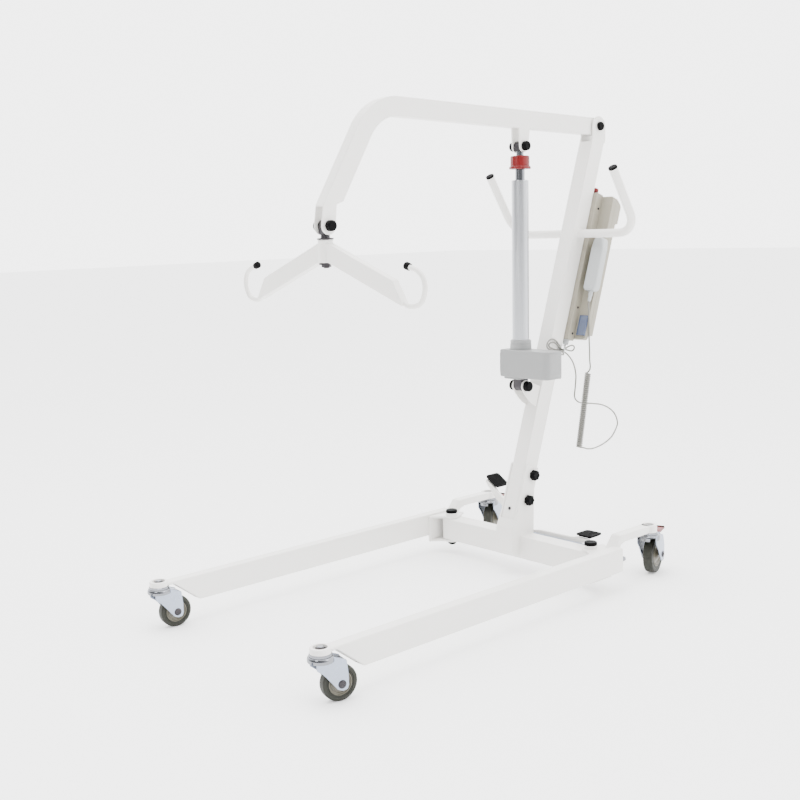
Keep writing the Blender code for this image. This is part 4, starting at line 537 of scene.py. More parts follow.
def zinc_plate(colours):
    # Bright zinc plate with blue passivation: a cool metal with a soft spangle of 9 mm, faintly yellow in
    # places
    made, shader, place = start("blue_passivated_zinc", colours.zinc, 0.3, 1.0)
    tree = made.node_tree
    spangle = add(tree, "ShaderNodeTexVoronoi", {"Vector": place}, {"Scale": 1 / 0.009}, feature="SMOOTH_F1")
    haze = add(tree, "ShaderNodeTexNoise", {"Vector": place}, {"Scale": 1 / 0.018, "Detail": 5.0})
    blend = add(tree, "ShaderNodeMath", {0: spangle.outputs["Distance"], 1: haze.outputs["Fac"]},
                operation="MULTIPLY")
    warm = [c * f for c, f in zip(colours.zinc, (0.95, 0.92, 0.87))]
    vary(made, shader, blend.outputs[0], colours.zinc, warm, 0.26, 0.4)
    emboss(made, shader, haze.outputs["Fac"], 0.00003)
    return made, "zinc_plate"


def chrome(colours):
    # Hard chrome or polished nickel on turned steel: sharp reflections, dulled a little by fine rubbing
    made, shader, place = start("polished_chrome", colours.chrome, 0.1, 1.0)
    rub = add(made.node_tree, "ShaderNodeTexNoise", {"Vector": place}, {"Scale": 1 / 0.01, "Detail": 6.0})
    vary(made, shader, rub.outputs["Fac"], colours.chrome, shaded(colours.chrome, 0.9), 0.06, 0.18)
    return made, "chrome"


def dark_steel(colours):
    # Blackened forged steel: metal under a dark oxide, with brownish clouds of 25 mm where the oil wears thin
    made, shader, place = start("blackened_steel", colours.steel, 0.38, 0.85)
    tree = made.node_tree
    worn = add(tree, "ShaderNodeTexNoise", {"Vector": place}, {"Scale": 1 / 0.025, "Detail": 6.0})
    brown = [c * f + 0.02 for c, f in zip(colours.steel, (2.2, 1.9, 1.6))]
    vary(made, shader, worn.outputs["Fac"], colours.steel, brown, 0.25, 0.5)
    emboss(made, shader, worn.outputs["Fac"], 0.0001)
    return made, "dark_steel"


def tread_rubber(colours):
    # Thermoplastic rubber tread: matt olive grey with pale floor dust rubbed into a 6 mm mottle
    made, shader, place = start("grey_rubber_tread", colours.tread, 0.62, Specular_IOR_Level=0.4)
    tree = made.node_tree
    dust = add(tree, "ShaderNodeTexNoise", {"Vector": place}, {"Scale": 1 / 0.006, "Detail": 8.0})
    vary(made, shader, dust.outputs["Fac"], shaded(colours.tread, 0.72), shaded(colours.tread, 1.28), 0.5,
         0.72)
    pits = add(tree, "ShaderNodeTexVoronoi", {"Vector": place}, {"Scale": 1 / 0.0016})
    emboss(made, shader, pits.outputs["Distance"], 0.00012)
    return made, "grey_tyre"


def anodised_tube(colours):
    # Drawn and clear anodised aluminium: satin metal with die lines along the tube, drawn coarse at 1.2 mm
    made, shader, place = start("anodised_aluminium", colours.aluminium, 0.26, 1.0)
    tree = made.node_tree
    stretch = add(tree, "ShaderNodeMapping", {"Vector": place}, {"Scale": (1.0, 1.0, 0.01)})
    lines = add(tree, "ShaderNodeTexNoise", {"Vector": stretch.outputs["Vector"]},
                {"Scale": 1 / 0.0012, "Detail": 3.0})
    vary(made, shader, lines.outputs["Fac"], colours.aluminium, shaded(colours.aluminium, 0.9), 0.22, 0.36)
    emboss(made, shader, lines.outputs["Fac"], 0.00002)
    return made, "anodised_aluminium"


def cord_sheath(colours):
    # Extruded soft PVC sheath: even and slightly glossy, a little darker where hands have held it
    made, shader, place = start("pvc_cord_sheath", colours.cord, 0.4, Coat_Weight=0.1)
    grip = add(made.node_tree, "ShaderNodeTexNoise", {"Vector": place}, {"Scale": 1 / 0.03, "Detail": 4.0})
    vary(made, shader, grip.outputs["Fac"], shaded(colours.cord, 1.05), shaded(colours.cord, 0.9), 0.34, 0.5)
    return made, "cord_grey"


def make_finishes():
    """Every finish of the lift, by the name that the pieces call it by."""
    colours = bpy.context.scene.patient_lift_colours
    finishes["paint"] = powder_coat(colours)
    finishes["zinc"] = zinc_plate(colours)
    finishes["chrome"] = chrome(colours)
    finishes["steel"] = dark_steel(colours)
    finishes["tread"] = tread_rubber(colours)
    finishes["tube"] = anodised_tube(colours)
    finishes["cord"] = cord_sheath(colours)
    # Glass-filled nylon knobs and caps: near black and matt, with the grain drawn coarse, at 1.2 mm
    finishes["black"] = moulded("black_nylon", colours.black, "black_plastic", 0.55, 0.0012, 0.00006,
                                Specular_IOR_Level=0.05)
    # Nylon wheel centres: smooth dull beige with a soft sheen
    finishes["hub"] = moulded("beige_nylon", colours.hub, "beige_hub", 0.4, 0.0016, 0.00003)
    # ABS mouldings with the fine grain drawn coarse, at 1.4 to 1.6 mm
    finishes["motor"] = moulded("grey_abs", colours.motor, "motor_grey", 0.46, 0.0014, 0.00006)
    finishes["box"] = moulded("beige_abs", colours.box, "box_beige", 0.48, 0.0014, 0.00006)
    finishes["pendant"] = moulded("pale_abs", colours.pendant, "pendant_grey", 0.36, 0.0016, 0.00004)
    # Through-coloured red nylon, a little smoother than the housings
    finishes["red"] = moulded("red_nylon", colours.red, "red_plastic", 0.38, 0.0018, 0.00004,
                              Specular_IOR_Level=0.3)
    # Clear-lacquered bluish cover over the sockets: glossy, nearly smooth
    finishes["cover"] = moulded("glossy_blue_cover", colours.cover, "pendant_grey", 0.16, 0.003, 0.00002,
                                Coat_Weight=0.6)


# Camera, floor and light

CAMERA_PLACE = (1.9555, -1.8805, 0.9043)
CAMERA_LENS = 50.733
CAMERA_SENSOR = 36.0
BACKDROP_WAY = (-0.35, 0.75, 0.5)


def set_camera():
    """The photograph's view: 48 degrees round from the front, 9 degrees down, a slight roll."""
    turn, drop, roll = math.radians(48.07), math.radians(8.62), math.radians(-1.7246)
    ahead = Vector((-math.sin(turn) * math.cos(drop), math.cos(turn) * math.cos(drop), -math.sin(drop)))
    right = Vector((math.cos(turn), math.sin(turn), 0))
    up = right.cross(ahead)
    across = math.cos(roll) * right + math.sin(roll) * up
    over = math.cos(roll) * up - math.sin(roll) * right
    bpy.ops.object.camera_add()
    camera = bpy.context.object
    camera.name = "photograph_camera"
    camera.matrix_world = at(*CAMERA_PLACE) @ Matrix((across, over, -ahead)).transposed().to_4x4()
    camera.data.lens = CAMERA_LENS
    camera.data.sensor_width = CAMERA_SENSOR
    bpy.context.scene.camera = camera


def set_floor():
    """A white floor that reaches past the horizon."""
    select()
    bpy.ops.mesh.primitive_plane_add(size=60.0)
    floor = bpy.context.object
    floor.name = "studio_floor"
    # Matt white sweep paper, nearly even, with a very faint cloud a metre across
    white = bpy.context.scene.patient_lift_colours.floor
    made, shader, place = start("white_sweep_paper", white, 0.75)
    cloud = add(made.node_tree, "ShaderNodeTexNoise", {"Vector": place}, {"Scale": 1.0, "Detail": 2.0})
    vary(made, shader, cloud.outputs["Fac"], white, shaded(white, 0.985), 0.7, 0.8)
    # A trace of its own light, so that the far floor is nearly as bright as the backdrop
    shader.inputs["Emission Color"].default_value = (1.0, 1.0, 1.0, 1.0)
    shader.inputs["Emission Strength"].default_value = 0.25
    floor.data.materials.append(made)


def area_light(name, place, aim, size, power):
    """A square soft light at a place, turned to what it lights."""
    bpy.ops.object.light_add(type="AREA", location=place)
    light = bpy.context.object
    light.name = name
    light.data.shape = "SQUARE"
    light.data.size = size
    light.data.energy = power
    light.rotation_euler = (Vector(aim) - Vector(place)).to_track_quat("-Z", "Y").to_euler()


def set_lights():
    """Three soft lights, and a world that is bright behind the lift and dim behind the photographer."""
    power = sizes().light_power
    area_light("key_softbox", (3.6, 0.9, 2.2), (0, 0.1, 0.5), 1.6, power * 1.2)
    area_light("overhead_softbox", (-0.2, -0.4, 4.2), (0, 0, 0.4), 2.4, power * 3.5)
    area_light("front_softbox", (0.9, -3.3, 2.3), (0, 0, 0.8), 1.3, power * 1.2)
    world = bpy.context.scene.world or bpy.data.worlds.new("studio")
    bpy.context.scene.world = world
    world.use_nodes = True
    tree = world.node_tree
    backdrop = tree.nodes["Background"]
    backdrop.inputs["Color"].default_value = (1.0, 1.0, 1.0, 1.0)
    # A studio: white backdrop and ceiling, a dimmer room behind the photographer
    facing = add(tree, "ShaderNodeTexCoord")
    toward = add(tree, "ShaderNodeVectorMath", {0: facing.outputs["Generated"]}, {1: BACKDROP_WAY},
                 operation="DOT_PRODUCT")
    level = add(tree, "ShaderNodeMapRange", {"Value": toward.outputs["Value"]},
                {"From Min": -0.35, "From Max": 0.28, "To Min": 0.6, "To Max": 4.8})
    tree.links.new(level.outputs["Result"], backdrop.inputs["Strength"])


# Cords

COIL_TOP = Vector((0.075, 0.2065, 0.511))
COIL_BOTTOM = Vector((0.075, 0.1675, 0.315))
COIL_DIAMETER = 0.0178
COIL_TURNS = 37.75
COIL_POINTS = 16
COIL_ALONG = (COIL_BOTTOM - COIL_TOP).normalized()
COIL_SIDE = Vector((1, 0, 0))
COIL_BACK = COIL_SIDE.cross(COIL_ALONG)
PLUG_XS = {"pendant": 0.02, "motor": -0.002}


def coil_route():
    """A helix that starts in line with its axis and ends square to it, with a straight run at each end."""
    radius = (COIL_DIAMETER - CORD) / 2
    pitch = (COIL_BOTTOM - COIL_TOP).length / COIL_TURNS
    points = []
    for k in range(round(COIL_TURNS * COIL_POINTS) + 1):
        turns = k / COIL_POINTS
        angle = math.radians(90) + math.tau * turns
        lead = 0.01 * max(0.0, 1 - turns / 0.3) ** 3
        points.append(COIL_TOP + COIL_ALONG * (pitch * turns - lead)
                      + radius * (math.cos(angle) * COIL_SIDE + math.sin(angle) * COIL_BACK))
    return [points[0] - COIL_ALONG * CORD] + points + [points[-1] + COIL_BACK * CORD]


def plug_end(name):
    """Where a cord leaves its plug below the control box."""
    y, z = from_mast(0.038, 0.631)
    return Vector((PLUG_XS[name], y, z))


def cord_routes():
    """The routes of both cords in the lift's frame: the pendant's, curly in the middle, and the motor's."""
    mast_down = Vector((0, -math.sin(MAST_LEAN), -math.cos(MAST_LEAN)))
    coil = coil_route()
    relief = Vector((0.071, *from_mast(0.0365, 0.752)))
    upper = [relief + mast_down * GAP, relief + mast_down * 0.008, (0.0738, 0.213, 0.672),
             (0.075, 0.2115, 0.65), (0.0752, 0.212, 0.603), (0.0752, 0.2135, 0.571),
             (0.075, 0.214, 0.545), coil[0] - COIL_ALONG * CORD]
    lower = [coil[-1] + COIL_BACK * CORD, (0.078, 0.2, 0.306), (0.071, 0.235, 0.3015),
             (0.064, 0.283, 0.3045), (0.057, 0.33, 0.3165), (0.053, 0.358, 0.338),
             (0.051, 0.366, 0.354), (0.049, 0.356, 0.378), (0.047, 0.3325, 0.397),
             (0.045, 0.302, 0.41), (0.043, 0.268, 0.417), (0.041, 0.243, 0.421),
             (0.04, 0.218, 0.4255), (0.04, 0.201, 0.4335), (0.04, 0.1925, 0.446),
             (0.039, 0.197, 0.468), (0.038, 0.2015, 0.4985), (0.036, 0.1995, 0.5215),
             (0.034, 0.191, 0.542), (0.0322, 0.177, 0.558), (0.031, 0.165, 0.5665),
             (0.0303, 0.1531, 0.5714), (0.0302, 0.135, 0.5735), (0.0298, 0.112, 0.5765),
             (0.0293, 0.0955, 0.586), (0.0288, 0.0985, 0.5995), (0.0282, 0.116, 0.606),
             (0.0272, 0.135, 0.5985), (0.0257, 0.1531, 0.5806), (0.0248, 0.161, 0.574),
             (0.023, 0.169, 0.5705), plug_end("pendant") + mast_down * 0.0095,
             plug_end("pendant") + mast_down * GAP]
    motor = [plug_end("motor") + mast_down * GAP, plug_end("motor") + mast_down * 0.01,
             (0.003, 0.174, 0.5635), (0.012, 0.1745, 0.559), (0.0215, 0.171, 0.56),
             (0.0252, 0.163, 0.566), (0.0257, 0.1531, 0.5714), (0.0258, 0.138, 0.5745),
             (0.0262, 0.122, 0.58), (0.0266, 0.108, 0.586), (0.027, 0.1045, 0.5925),
             (0.028, 0.113, 0.5975), (0.0292, 0.126, 0.5955), (0.0302, 0.14, 0.586),
             (0.0303, 0.1531, 0.576), (0.0305, 0.166, 0.5745), (0.0315, 0.18, 0.5705),
             (0.033, 0.191, 0.5685), (0.0345, 0.1985, 0.5725), (0.0352, 0.1985, 0.5795),
             (0.0355, 0.19, 0.5835), (0.0355, 0.177, 0.5825), (0.0352, 0.165, 0.5785),
             (0.0349, 0.1531, 0.5737), (0.0358, 0.138, 0.569), (0.037, 0.118, 0.566),
             (0.037, 0.095, 0.564)]
    inlet = LIFT.inverted() @ ACTUATOR @ Vector((0.036, 0.0265, 0.073))
    motor += [inlet + Vector((0, 0.01, 0)), inlet]
    pendant = smooth_route(upper, 0.004) + coil + smooth_route(lower, 0.004)
    return pendant, smooth_route(motor, 0.003)


def string(name, route, *nodes):
    """A cord along a route given in the lift's frame."""
    points = [LIFT @ Vector(p) for p in route]
    obj = round_curve(name, points, CORD / 2, 3)
    obj.data.splines[0].use_smooth = True
    material, slot = finishes["cord"]
    obj.data.materials.append(material)
    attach(obj, "base")
    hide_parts(*nodes)


def tie_band():
    """The flat band that holds the slack loops of both cords beside the mast, with its buckle."""
    outer = slab(rounded([(0.0223, 0.567), (0.039, 0.567), (0.039, 0.5878), (0.0223, 0.5878)], 0.0035),
                 "y", 0.1516, 0.1546)
    inner = slab(rounded([(0.0233, 0.568), (0.038, 0.568), (0.038, 0.5868), (0.0233, 0.5868)], 0.0025),
                 "y", 0.14, 0.17)
    band = soften(carve(outer, inner), 0.0002, 1)
    buckle = soften(block((0.0385, 0.0402), (0.1508, 0.1554), (0.575, 0.58)), 0.0004, 2)
    done("cord_tie_band", gather(band, buckle), "pendant", "base", "cable_tie")


# Base

def crossbar():
    """The tube between the legs with the leaning socket of the mast, and the rocker's stud behind it."""
    edge = sizes().tube_edge
    bar = soften(block((-0.262, 0.262), (-0.02, 0.03), (0.04, 0.1)), edge, 3)
    for sign in (-1, 1):
        carve(bar, block(sorted((sign * 0.033, sign * 0.28)), (-0.017, 0.027), (0.043, 0.097)))
    front_top, rear_top = from_mast(-0.025, 0.294), from_mast(0.023, 0.294)
    front_low, rear_low = from_mast(-0.025, 0.165), from_mast(0.024, 0.235)
    cheek = rounded([(-0.05, 0.053), (-0.05, 0.122), front_low, front_top, rear_top, rear_low,
                     (0.037, 0.185), (0.034, 0.098), (0.026, 0.096), (0.026, 0.053)],
                    [0.0, 0.02, 0.02, 0.004, 0.004, 0.02, 0.02, 0, 0, 0])
    socket = soften(slab(cheek, "x", -0.0285, 0.0285), 0.0013, 2)
    lean = math.tan(MAST_LEAN)
    lip_y = MAST_FOOT_Y + 0.148 * lean - 0.025 / math.cos(MAST_LEAN) - 0.0005
    lean_z = 0.148 - (lip_y + 0.047) / lean
    well = slab([(-0.047, 0.1), (-0.047, lean_z), (lip_y, 0.148), (lip_y - 0.05, 0.148),
                 (front_top[0] - 0.03, front_top[1] + 0.02), (rear_top[0] + 0.03, rear_top[1] + 0.02),
                 (0.07, 0.2), (0.06, 0.1)], "x", -0.0225, 0.0225)
    carve(socket, well)
    stud = turned([(0, 0.06), (0.0042, 0.06), (0.005, 0.0592), (0.005, 0.0457), (0.0065, 0.0457),
                   (0.0065, 0.024), (0, 0.024)], at(0, 0, ROCKER_Z) @ BACKWARD)
    bead = sizes().weld_bead
    beads = [pipe([(x, -0.0195, 0.0405), (x, -0.0205, 0.0985)], bead, 3) for x in (-0.029, 0.029)]
    beads += [pipe([(x, -0.018, 0.1005), (x, 0.026, 0.1005)], bead, 3) for x in (-0.029, 0.029)]
    done("painted_crossbar", gather(bar, socket, stud, *beads), "paint", "base", "base_frame")
    screw = turned(domed(0.0042, 0, 0.0032, 0.0014), at(0, -0.025, 0.1735) @ FORWARD)
    done("mast_front_screw", screw, "steel", "base", place=MAST)


def pivot_bolts():
    """Leg pivots: ribbed black caps above, hex nuts below."""
    shaft = turned([(0, 0.1165), (0.008, 0.1165), (0.008, 0.0235), (0, 0.0235)])
    rim = arc((0.0135, 0.1205), 0.0025, 90, 0, 4)
    cap = turned([(0, 0.1222), (0.0085, 0.1222), (0.0092, 0.123)] + rim + [(0.016, 0.1145), (0, 0.1145)],
                 steps=144)
    flute(cap, 36, 0.0006, 0.0148)
    nut = turned([(0, 0.0254), (0.0105, 0.0254), (0.012, 0.0266), (0.012, 0.0331), (0, 0.0331)], steps=6)
    bolt = gather(cap, shaft, nut)
    for side, sign in SIDES.items():
        done("leg_pivot_cap_" + side, put(doubled(bolt), at(sign * LEG_PIVOT_X, 0, 0)), "black", "base",
             "leg_pivot_bolt_" + side)
    bpy.data.objects.remove(bolt)


def caster_boss(x, y, low, high, radius, floor, recess):
    """The round end that holds a caster's stem, with the recess for its nut."""
    edge = 0.0012
    profile = [(0, floor), (recess, floor), (recess, high - edge), (recess + edge / 2, high)]
    profile += [(radius - edge, high), (radius, high - edge), (radius, low), (0, low)]
    return turned(profile, at(x, y, 0))


def recess_tool(x, y, floor, recess):
    """The cutter of the round recess that a caster's stem stands in."""
    return turned([(0, 0.2), (recess, 0.2), (recess, floor), (0, floor)], at(x, y, 0))


def leg_parts():
    """The right leg: tube with its slanted open front, bosses, forked hinge bracket and rear arm."""
    edge = sizes().tube_edge
    low_x, high_x = LEG_X - LEG_HALF, LEG_X + LEG_HALF
    fx, fy = CASTERS["front_right"][:2]
    rx, ry = CASTERS["rear_right"][:2]
    outline = rounded([(0.04, 0.051), (0.04, 0.111), (fy + 0.006, 0.111), (fy + 0.006, 0.104),
                       (-0.868, 0.104), (-0.799, 0.051)], [0.003, 0.003, 0, 0, 0.004, 0.003])
    tube = soften(slab(outline, "x", low_x, high_x), edge, 3)
    bore = [(0.0375, 0.0535), (0.0375, 0.1085), (-0.84, 0.1085), (-0.862, 0.1005), (-0.9, 0.08),
            (-0.9, 0.0535)]
    carve(tube, slab(bore, "x", low_x + 0.0025, high_x - 0.0025), recess_tool(fx, fy, 0.1095, 0.0145))
    root = LEG_X - 0.014
    hinge = [(root, -0.053), (LEG_PIVOT_X + 0.006, -0.022)] + arc((LEG_PIVOT_X, 0), 0.022, 265, 175, 10)
    hinge += arc(TIE_PIN, 0.0085, 180, 20, 8) + [(root, 0.03)]
    plates = [soften(slab(hinge, "z", low, low + 0.006), 0.001, 2) for low in (0.0337, 0.1003)]
    web = soften(block((0.2789, 0.2865), (-0.0527, 0.0297), (0.034, 0.106)), 0.001, 2)
    boss = turned([(0, 0.1142), (0.0155, 0.1142), (0.0165, 0.1132), (0.0165, 0.103), (0, 0.103)],
                  at(LEG_PIVOT_X, 0, 0))
    profile = rounded([(0.018, 0.1015), (0.034, 0.111), (0.056, 0.1357), (ry, 0.1357), (ry, 0.1167),
                       (0.074, 0.1167), (0.055, 0.111), (0.05, 0.094), (0.039, 0.088), (0.039, 0.1015)],
                      [0, 0, 0.012, 0, 0, 0.012, 0.008, 0, 0, 0])
    arm = soften(slab(profile, "x", 0.2665, 0.2965), 0.0022, 3)
    carve(arm, recess_tool(rx, ry, 0.1257, 0.0125))
    pin = turned([(0, 0.103), (0.003, 0.103), (0.003, 0.037), (0, 0.037)], at(*TIE_PIN, 0))
    parts = [caster_boss(fx, fy, 0.104, 0.1156, 0.0215, 0.1095, 0.0145),
             caster_boss(rx, ry, 0.1167, 0.1357, 0.0205, 0.1257, 0.0125), web, boss, arm, pin, *plates]
    return gather(tube, *parts)


def legs():
    """Both legs, and the rounded screw at each rear end."""
    right = leg_parts()
    left = mirrored(right)
    done("painted_leg_right", right, "paint", "right_leg", "leg_right")
    done("painted_leg_left", left, "paint", "left_leg", "leg_left")
    for side, sign in SIDES.items():
        screw = turned(domed(0.0062, 0, 0.015, 0.0045),
                       at(sign * (LEG_X + 0.0075), 0.04, 0.08) @ BACKWARD)
        done("leg_end_screw_" + side, screw, "chrome", side + "_leg")


# Casters, in their own frame: the swivel axis is Z and the wheel trails along +Y

def swivel_stem(mount, floor):
    """The stem with its hex nut in the boss's recess, and the fixed upper race."""
    top = mount + floor
    stem = turned([(0, top + 0.0075), (0.0052, top + 0.0075), (0.0062, top + 0.0065), (0.0062, mount - GAP),
                   (0.0218, mount - GAP), (0.023, mount - 0.0014), (0.023, mount - 0.005),
                   (0.0062, mount - 0.005), (0.0062, mount - 0.0125), (0, mount - 0.0125)])
    nut = turned([(0, top + GAP), (0.0098, top + GAP), (0.0098, top + 0.0048), (0.0086, top + 0.006),
                  (0, top + 0.006)], steps=6)
    return stem, nut


def swivel_fork(front):
    """The pressed fork: round crown, two cheeks over the wheel's middle, and the axle's hex heads."""
    tag = "front_right" if front else "rear_right"
    radius, tread, trail, mount = CASTERS[tag][3:]
    half = tread / 2 + (0.003 if front else 0.0095)
    crown_r = 0.0272 if front else 0.0295
    skirt = mount - (0.017 if front else 0.02)
    top, low = mount - 0.0053, mount - 0.0115
    crown = turned([(0, top), (0.0238, top), (0.025, top - 0.0006), (crown_r - 0.0012, top - 0.0024),
                    (crown_r - 0.0002, top - 0.0048), (crown_r, top - 0.0075), (crown_r, skirt + 0.0012),
                    (crown_r - 0.0007, skirt), (0, skirt)], steps=64)
    carve(crown, block((-half, half), (0.0025 - crown_r, 0.05), (skirt - 0.01, low)),
          block((-half, half), (0.0205, 0.05), (skirt - 0.01, mount)))
    back = trail + 0.0145
    corner = (0.0475, 0.0855) if front else (0.04, 0.1015)
    waist = (-0.003, 0.0645) if front else (0.0005, 0.07)
    outline = rounded([(-0.0165, top - 0.0015), (0.018, top - 0.0015), corner, (back, 1.45 * radius),
                       (back, 0.93 * radius), (back - 0.003, 0.67 * radius), (trail + 0.001, 0.63 * radius),
                       (trail - 0.26 * radius, 0.76 * radius), waist, (-0.0165, mount - 0.0295)],
                      [0, 0, 0.004, 0.004, 0.006, 0.006, 0.01, 0.006, 0.006, 0.004])
    edge = sizes().sheet_edge
    parts, bolts = [], []
    for sign in (-1, 1):
        parts.append(soften(slab(outline, "x", *sorted((sign * half, sign * (half + 0.0025)))), edge, 2))
        head = [(0, 0.0033), (0.003, 0.0033), (0.0036, 0.0025), (0.0062, 0.0025), (0.0075, 0.0012),
                (0.0075, -0.001), (0, -0.001)]
        washer = turned([(0, 0.0008), (0.0082, 0.0008), (0.0088, 0.0003), (0.0088, -0.001), (0, -0.001)])
        bolt = gather(turned(head, steps=6), washer)
        bolts.append(put(bolt, at(sign * (half + 0.0025), trail, radius) @ outward(sign)))
    axle = turned([(0, half + 0.001), (0.004, half + 0.001), (0.004, -half - 0.001), (0, -half - 0.001)])
    bolts.append(put(axle, at(0, trail, radius) @ ALONG_X))
    if front:
        end_y, end_z = corner[0] - 0.001, corner[1] - 0.0008
        roof = [(-0.0155, top - 0.002), (0.0165, top - 0.002), (end_y, end_z),
                (end_y - 0.0006, end_z - 0.0025), (0.0155, low + 0.0005), (-0.0155, low + 0.0005)]
        parts.append(soften(slab(roof, "x", -half - 0.001, half + 0.001), 0.0005, 2))
    else:
        y, z = BRAKE_HINGE
        ear = rounded([(0.0165, z - 0.0035), (y + 0.003, z - 0.0045), (y + 0.004, z + 0.0025),
                       (y + 0.001, z + 0.004), (0.015, z + 0.004)], [0, 0.002, 0.002, 0.002, 0])
        parts += [soften(slab(ear, "x", *sorted((s * 0.0175, s * 0.02))), 0.0005, 1) for s in (-1, 1)]
        hinge = turned([(0, 0.0215), (0.0016, 0.0215), (0.002, 0.021), (0.002, -0.021), (0.0016, -0.0215),
                        (0, -0.0215)])
        parts.append(put(hinge, at(0, y, z) @ ALONG_X))
    return crown, gather(*parts), gather(*bolts)


def both_sides(profile):
    """A wheel's profile from its middle hole outward on one side, run on over the other side."""
    return profile + [(r, -h) for r, h in reversed(profile)]


def wheel(radius, tread, trail):
    """A tread with a soft crown and a rim line, and a dished hub with concentric rings."""
    half = tread / 2 - 0.0015
    rim = 0.66 * radius
    scale = radius / CASTERS["front_right"][3]
    side = [(rim + GAP, half - 0.001), (0.72 * radius, half - 0.0002), (0.75 * radius, half - 0.001),
            (0.78 * radius, half), (0.86 * radius, half)]
    side += arc((radius - 0.0042, half - 0.0042), 0.0042, 80, 18, 5)
    side += [(radius - 0.00005, half - 0.0065)]
    outline = both_sides(side)
    tread_piece = turned(outline + outline[:1], steps=96)
    # The front hub's radii and rises past the tread; outside its boss they grow with the wheel
    boss = 0.012
    rises = [(0.0043, 0.0032), (0.0105, 0.0032), (0.0118, 0.002), (0.0125, -0.0015), (0.015, -0.0026),
             (0.0186, -0.0026), (0.0196, -0.0006), (0.021, -0.0002), (0.0216, -0.0022), (0.0226, -0.0022),
             (0.0232, -0.0001), (0.02475, -0.0006)]
    rings = both_sides([(r * scale if r > boss else r, half + rise) for r, rise in rises])
    hub_piece = turned(rings + rings[:1], steps=96)
    turn = at(0, trail, radius) @ ALONG_X
    return put(tread_piece, turn), put(hub_piece, turn)


def brake_lever():
    """The rear foot brake: a red pressed lever, and the black roll at its end."""
    y, z = BRAKE_HINGE
    lever = arc((y, z), 0.0038, 90, 230, 8) + [(y + 0.008, z - 0.0035), (y + 0.051, z - 0.0005)]
    lever += [(y + 0.0525, z + 0.004), (y + 0.016, z + 0.0055)]
    plate = soften(slab(rounded(lever, [0] * 10 + [0.003, 0.002, 0.004]), "x", -0.0165, 0.0165), 0.0006, 2)
    roll = turned([(0, 0.0165), (0.003, 0.0165), (0.004, 0.0155), (0.004, -0.0155), (0.003, -0.0165),
                   (0, -0.0165)], steps=24)
    return plate, put(roll, at(0, y + 0.0535, z + 0.0025) @ ALONG_X)


def casters():
    """All four casters; each end's pieces are modelled once and copied to both sides."""
    for end in ("front", "rear"):
        front = end == "front"
        radius, tread, trail, mount = CASTERS[end + "_right"][3:]
        stem, nut = swivel_stem(mount, 0.0055 if front else 0.009)
        crown, fork, axle = swivel_fork(front)
        tyre, hub = wheel(radius, tread, trail)
        # Each piece with its name, its finish, the body it rides and the node it stands for
        pieces = [(stem, "stem_and_race", "chrome", "leg", "caster_stem"),
                  # The stem nut's dark steel finish is painted shade: it darkens the boss's recess that the
                  # nut sits in
                  (nut, "stem_nut", "steel", "leg", None),
                  (axle, "axle_bolt", "steel", "fork", None),
                  (fork, "pressed_fork", "zinc", "fork", "caster_fork"),
                  (crown, "pressed_crown", "chrome", "fork", None),
                  (tyre, "rubber_tread", "tread", "wheel", "tyre"),
                  (hub, "dished_hub", "hub", "wheel", "wheel_hub")]
        if not front:
            plate, roll = brake_lever()
            pieces += [(plate, "brake_lever", "red", "brake", "brake_pedal"),
                       (roll, "brake_roll", "black", "brake", None)]
        for side in SIDES:
            tag = end + "_" + side + "_"
            for piece, name, finish, body, node in pieces:
                rides = side + "_leg" if body == "leg" else tag + body
                nodes = [tag + node] if node else []
                done(tag + name, doubled(piece), finish, rides, *nodes, place=caster_frame(end + "_" + side))
        for piece, *_ in pieces:
            bpy.data.objects.remove(piece)


# Mast and boom

def mast_column():
    """The hollow mast with the cheeks that hold the boom and the curved plates of the lower pin."""
    half = MAST_HALF_DEPTH
    pivot = to_mast(*BOOM_PIVOT)
    lean = math.degrees(MAST_LEAN)
    over = arc(pivot, 0.027, 180 + lean, lean, 18)
    down = (math.sin(MAST_LEAN), -math.cos(MAST_LEAN))
    rear = (over[-1][0] + down[0] * 0.04, over[-1][1] + down[1] * 0.04)
    reach = (-half - over[0][0]) / down[0]
    front = (-half, over[0][1] + down[1] * reach)
    outline = over + [rear, (half, rear[1] - 0.01), (half, 0.1215), (-half, 0.1215), front]
    column = soften(slab(outline, "x", -MAST_HALF_WIDTH, MAST_HALF_WIDTH), 0.0022, 3)
    wall = (-0.0185, 0.0185)
    carve(column, block(wall, (-0.0215, 0.0215), (0.11, 1.3)), block(wall, (-0.075, 0.0215), (1.177, 1.3)),
          block(wall, (-0.075, 0.075), (1.19, 1.3)))
    hole = HANDLE_RADIUS + GAP
    carve(column, turned([(0, 0.05), (hole, 0.05), (hole, -0.05), (0, -0.05)],
                         at(0, *HANDLE_BAR) @ ALONG_X, 32))
    pin = to_mast(*ACTUATOR_BOTTOM)
    curve = [to_mast(y, z) for y, z in ((0.0165, 0.4735), (0.0257, 0.4622), (0.0345, 0.453),
                                        (0.0449, 0.4441), (0.056, 0.4375))]
    foot = (-0.024, to_mast(0.062, 0.432)[1])
    bracket = [(-0.024, pin[1] + 0.012)] + arc(pin, 0.0155, 95, 215, 12) + curve + [foot]
    plates = [soften(slab(bracket, "x", *sorted((x * 0.014, x * 0.018))), sizes().sheet_edge, 2)
              for x in (-1, 1)]
    done("painted_mast", gather(column, *plates), "paint", "base", "mast", place=MAST)


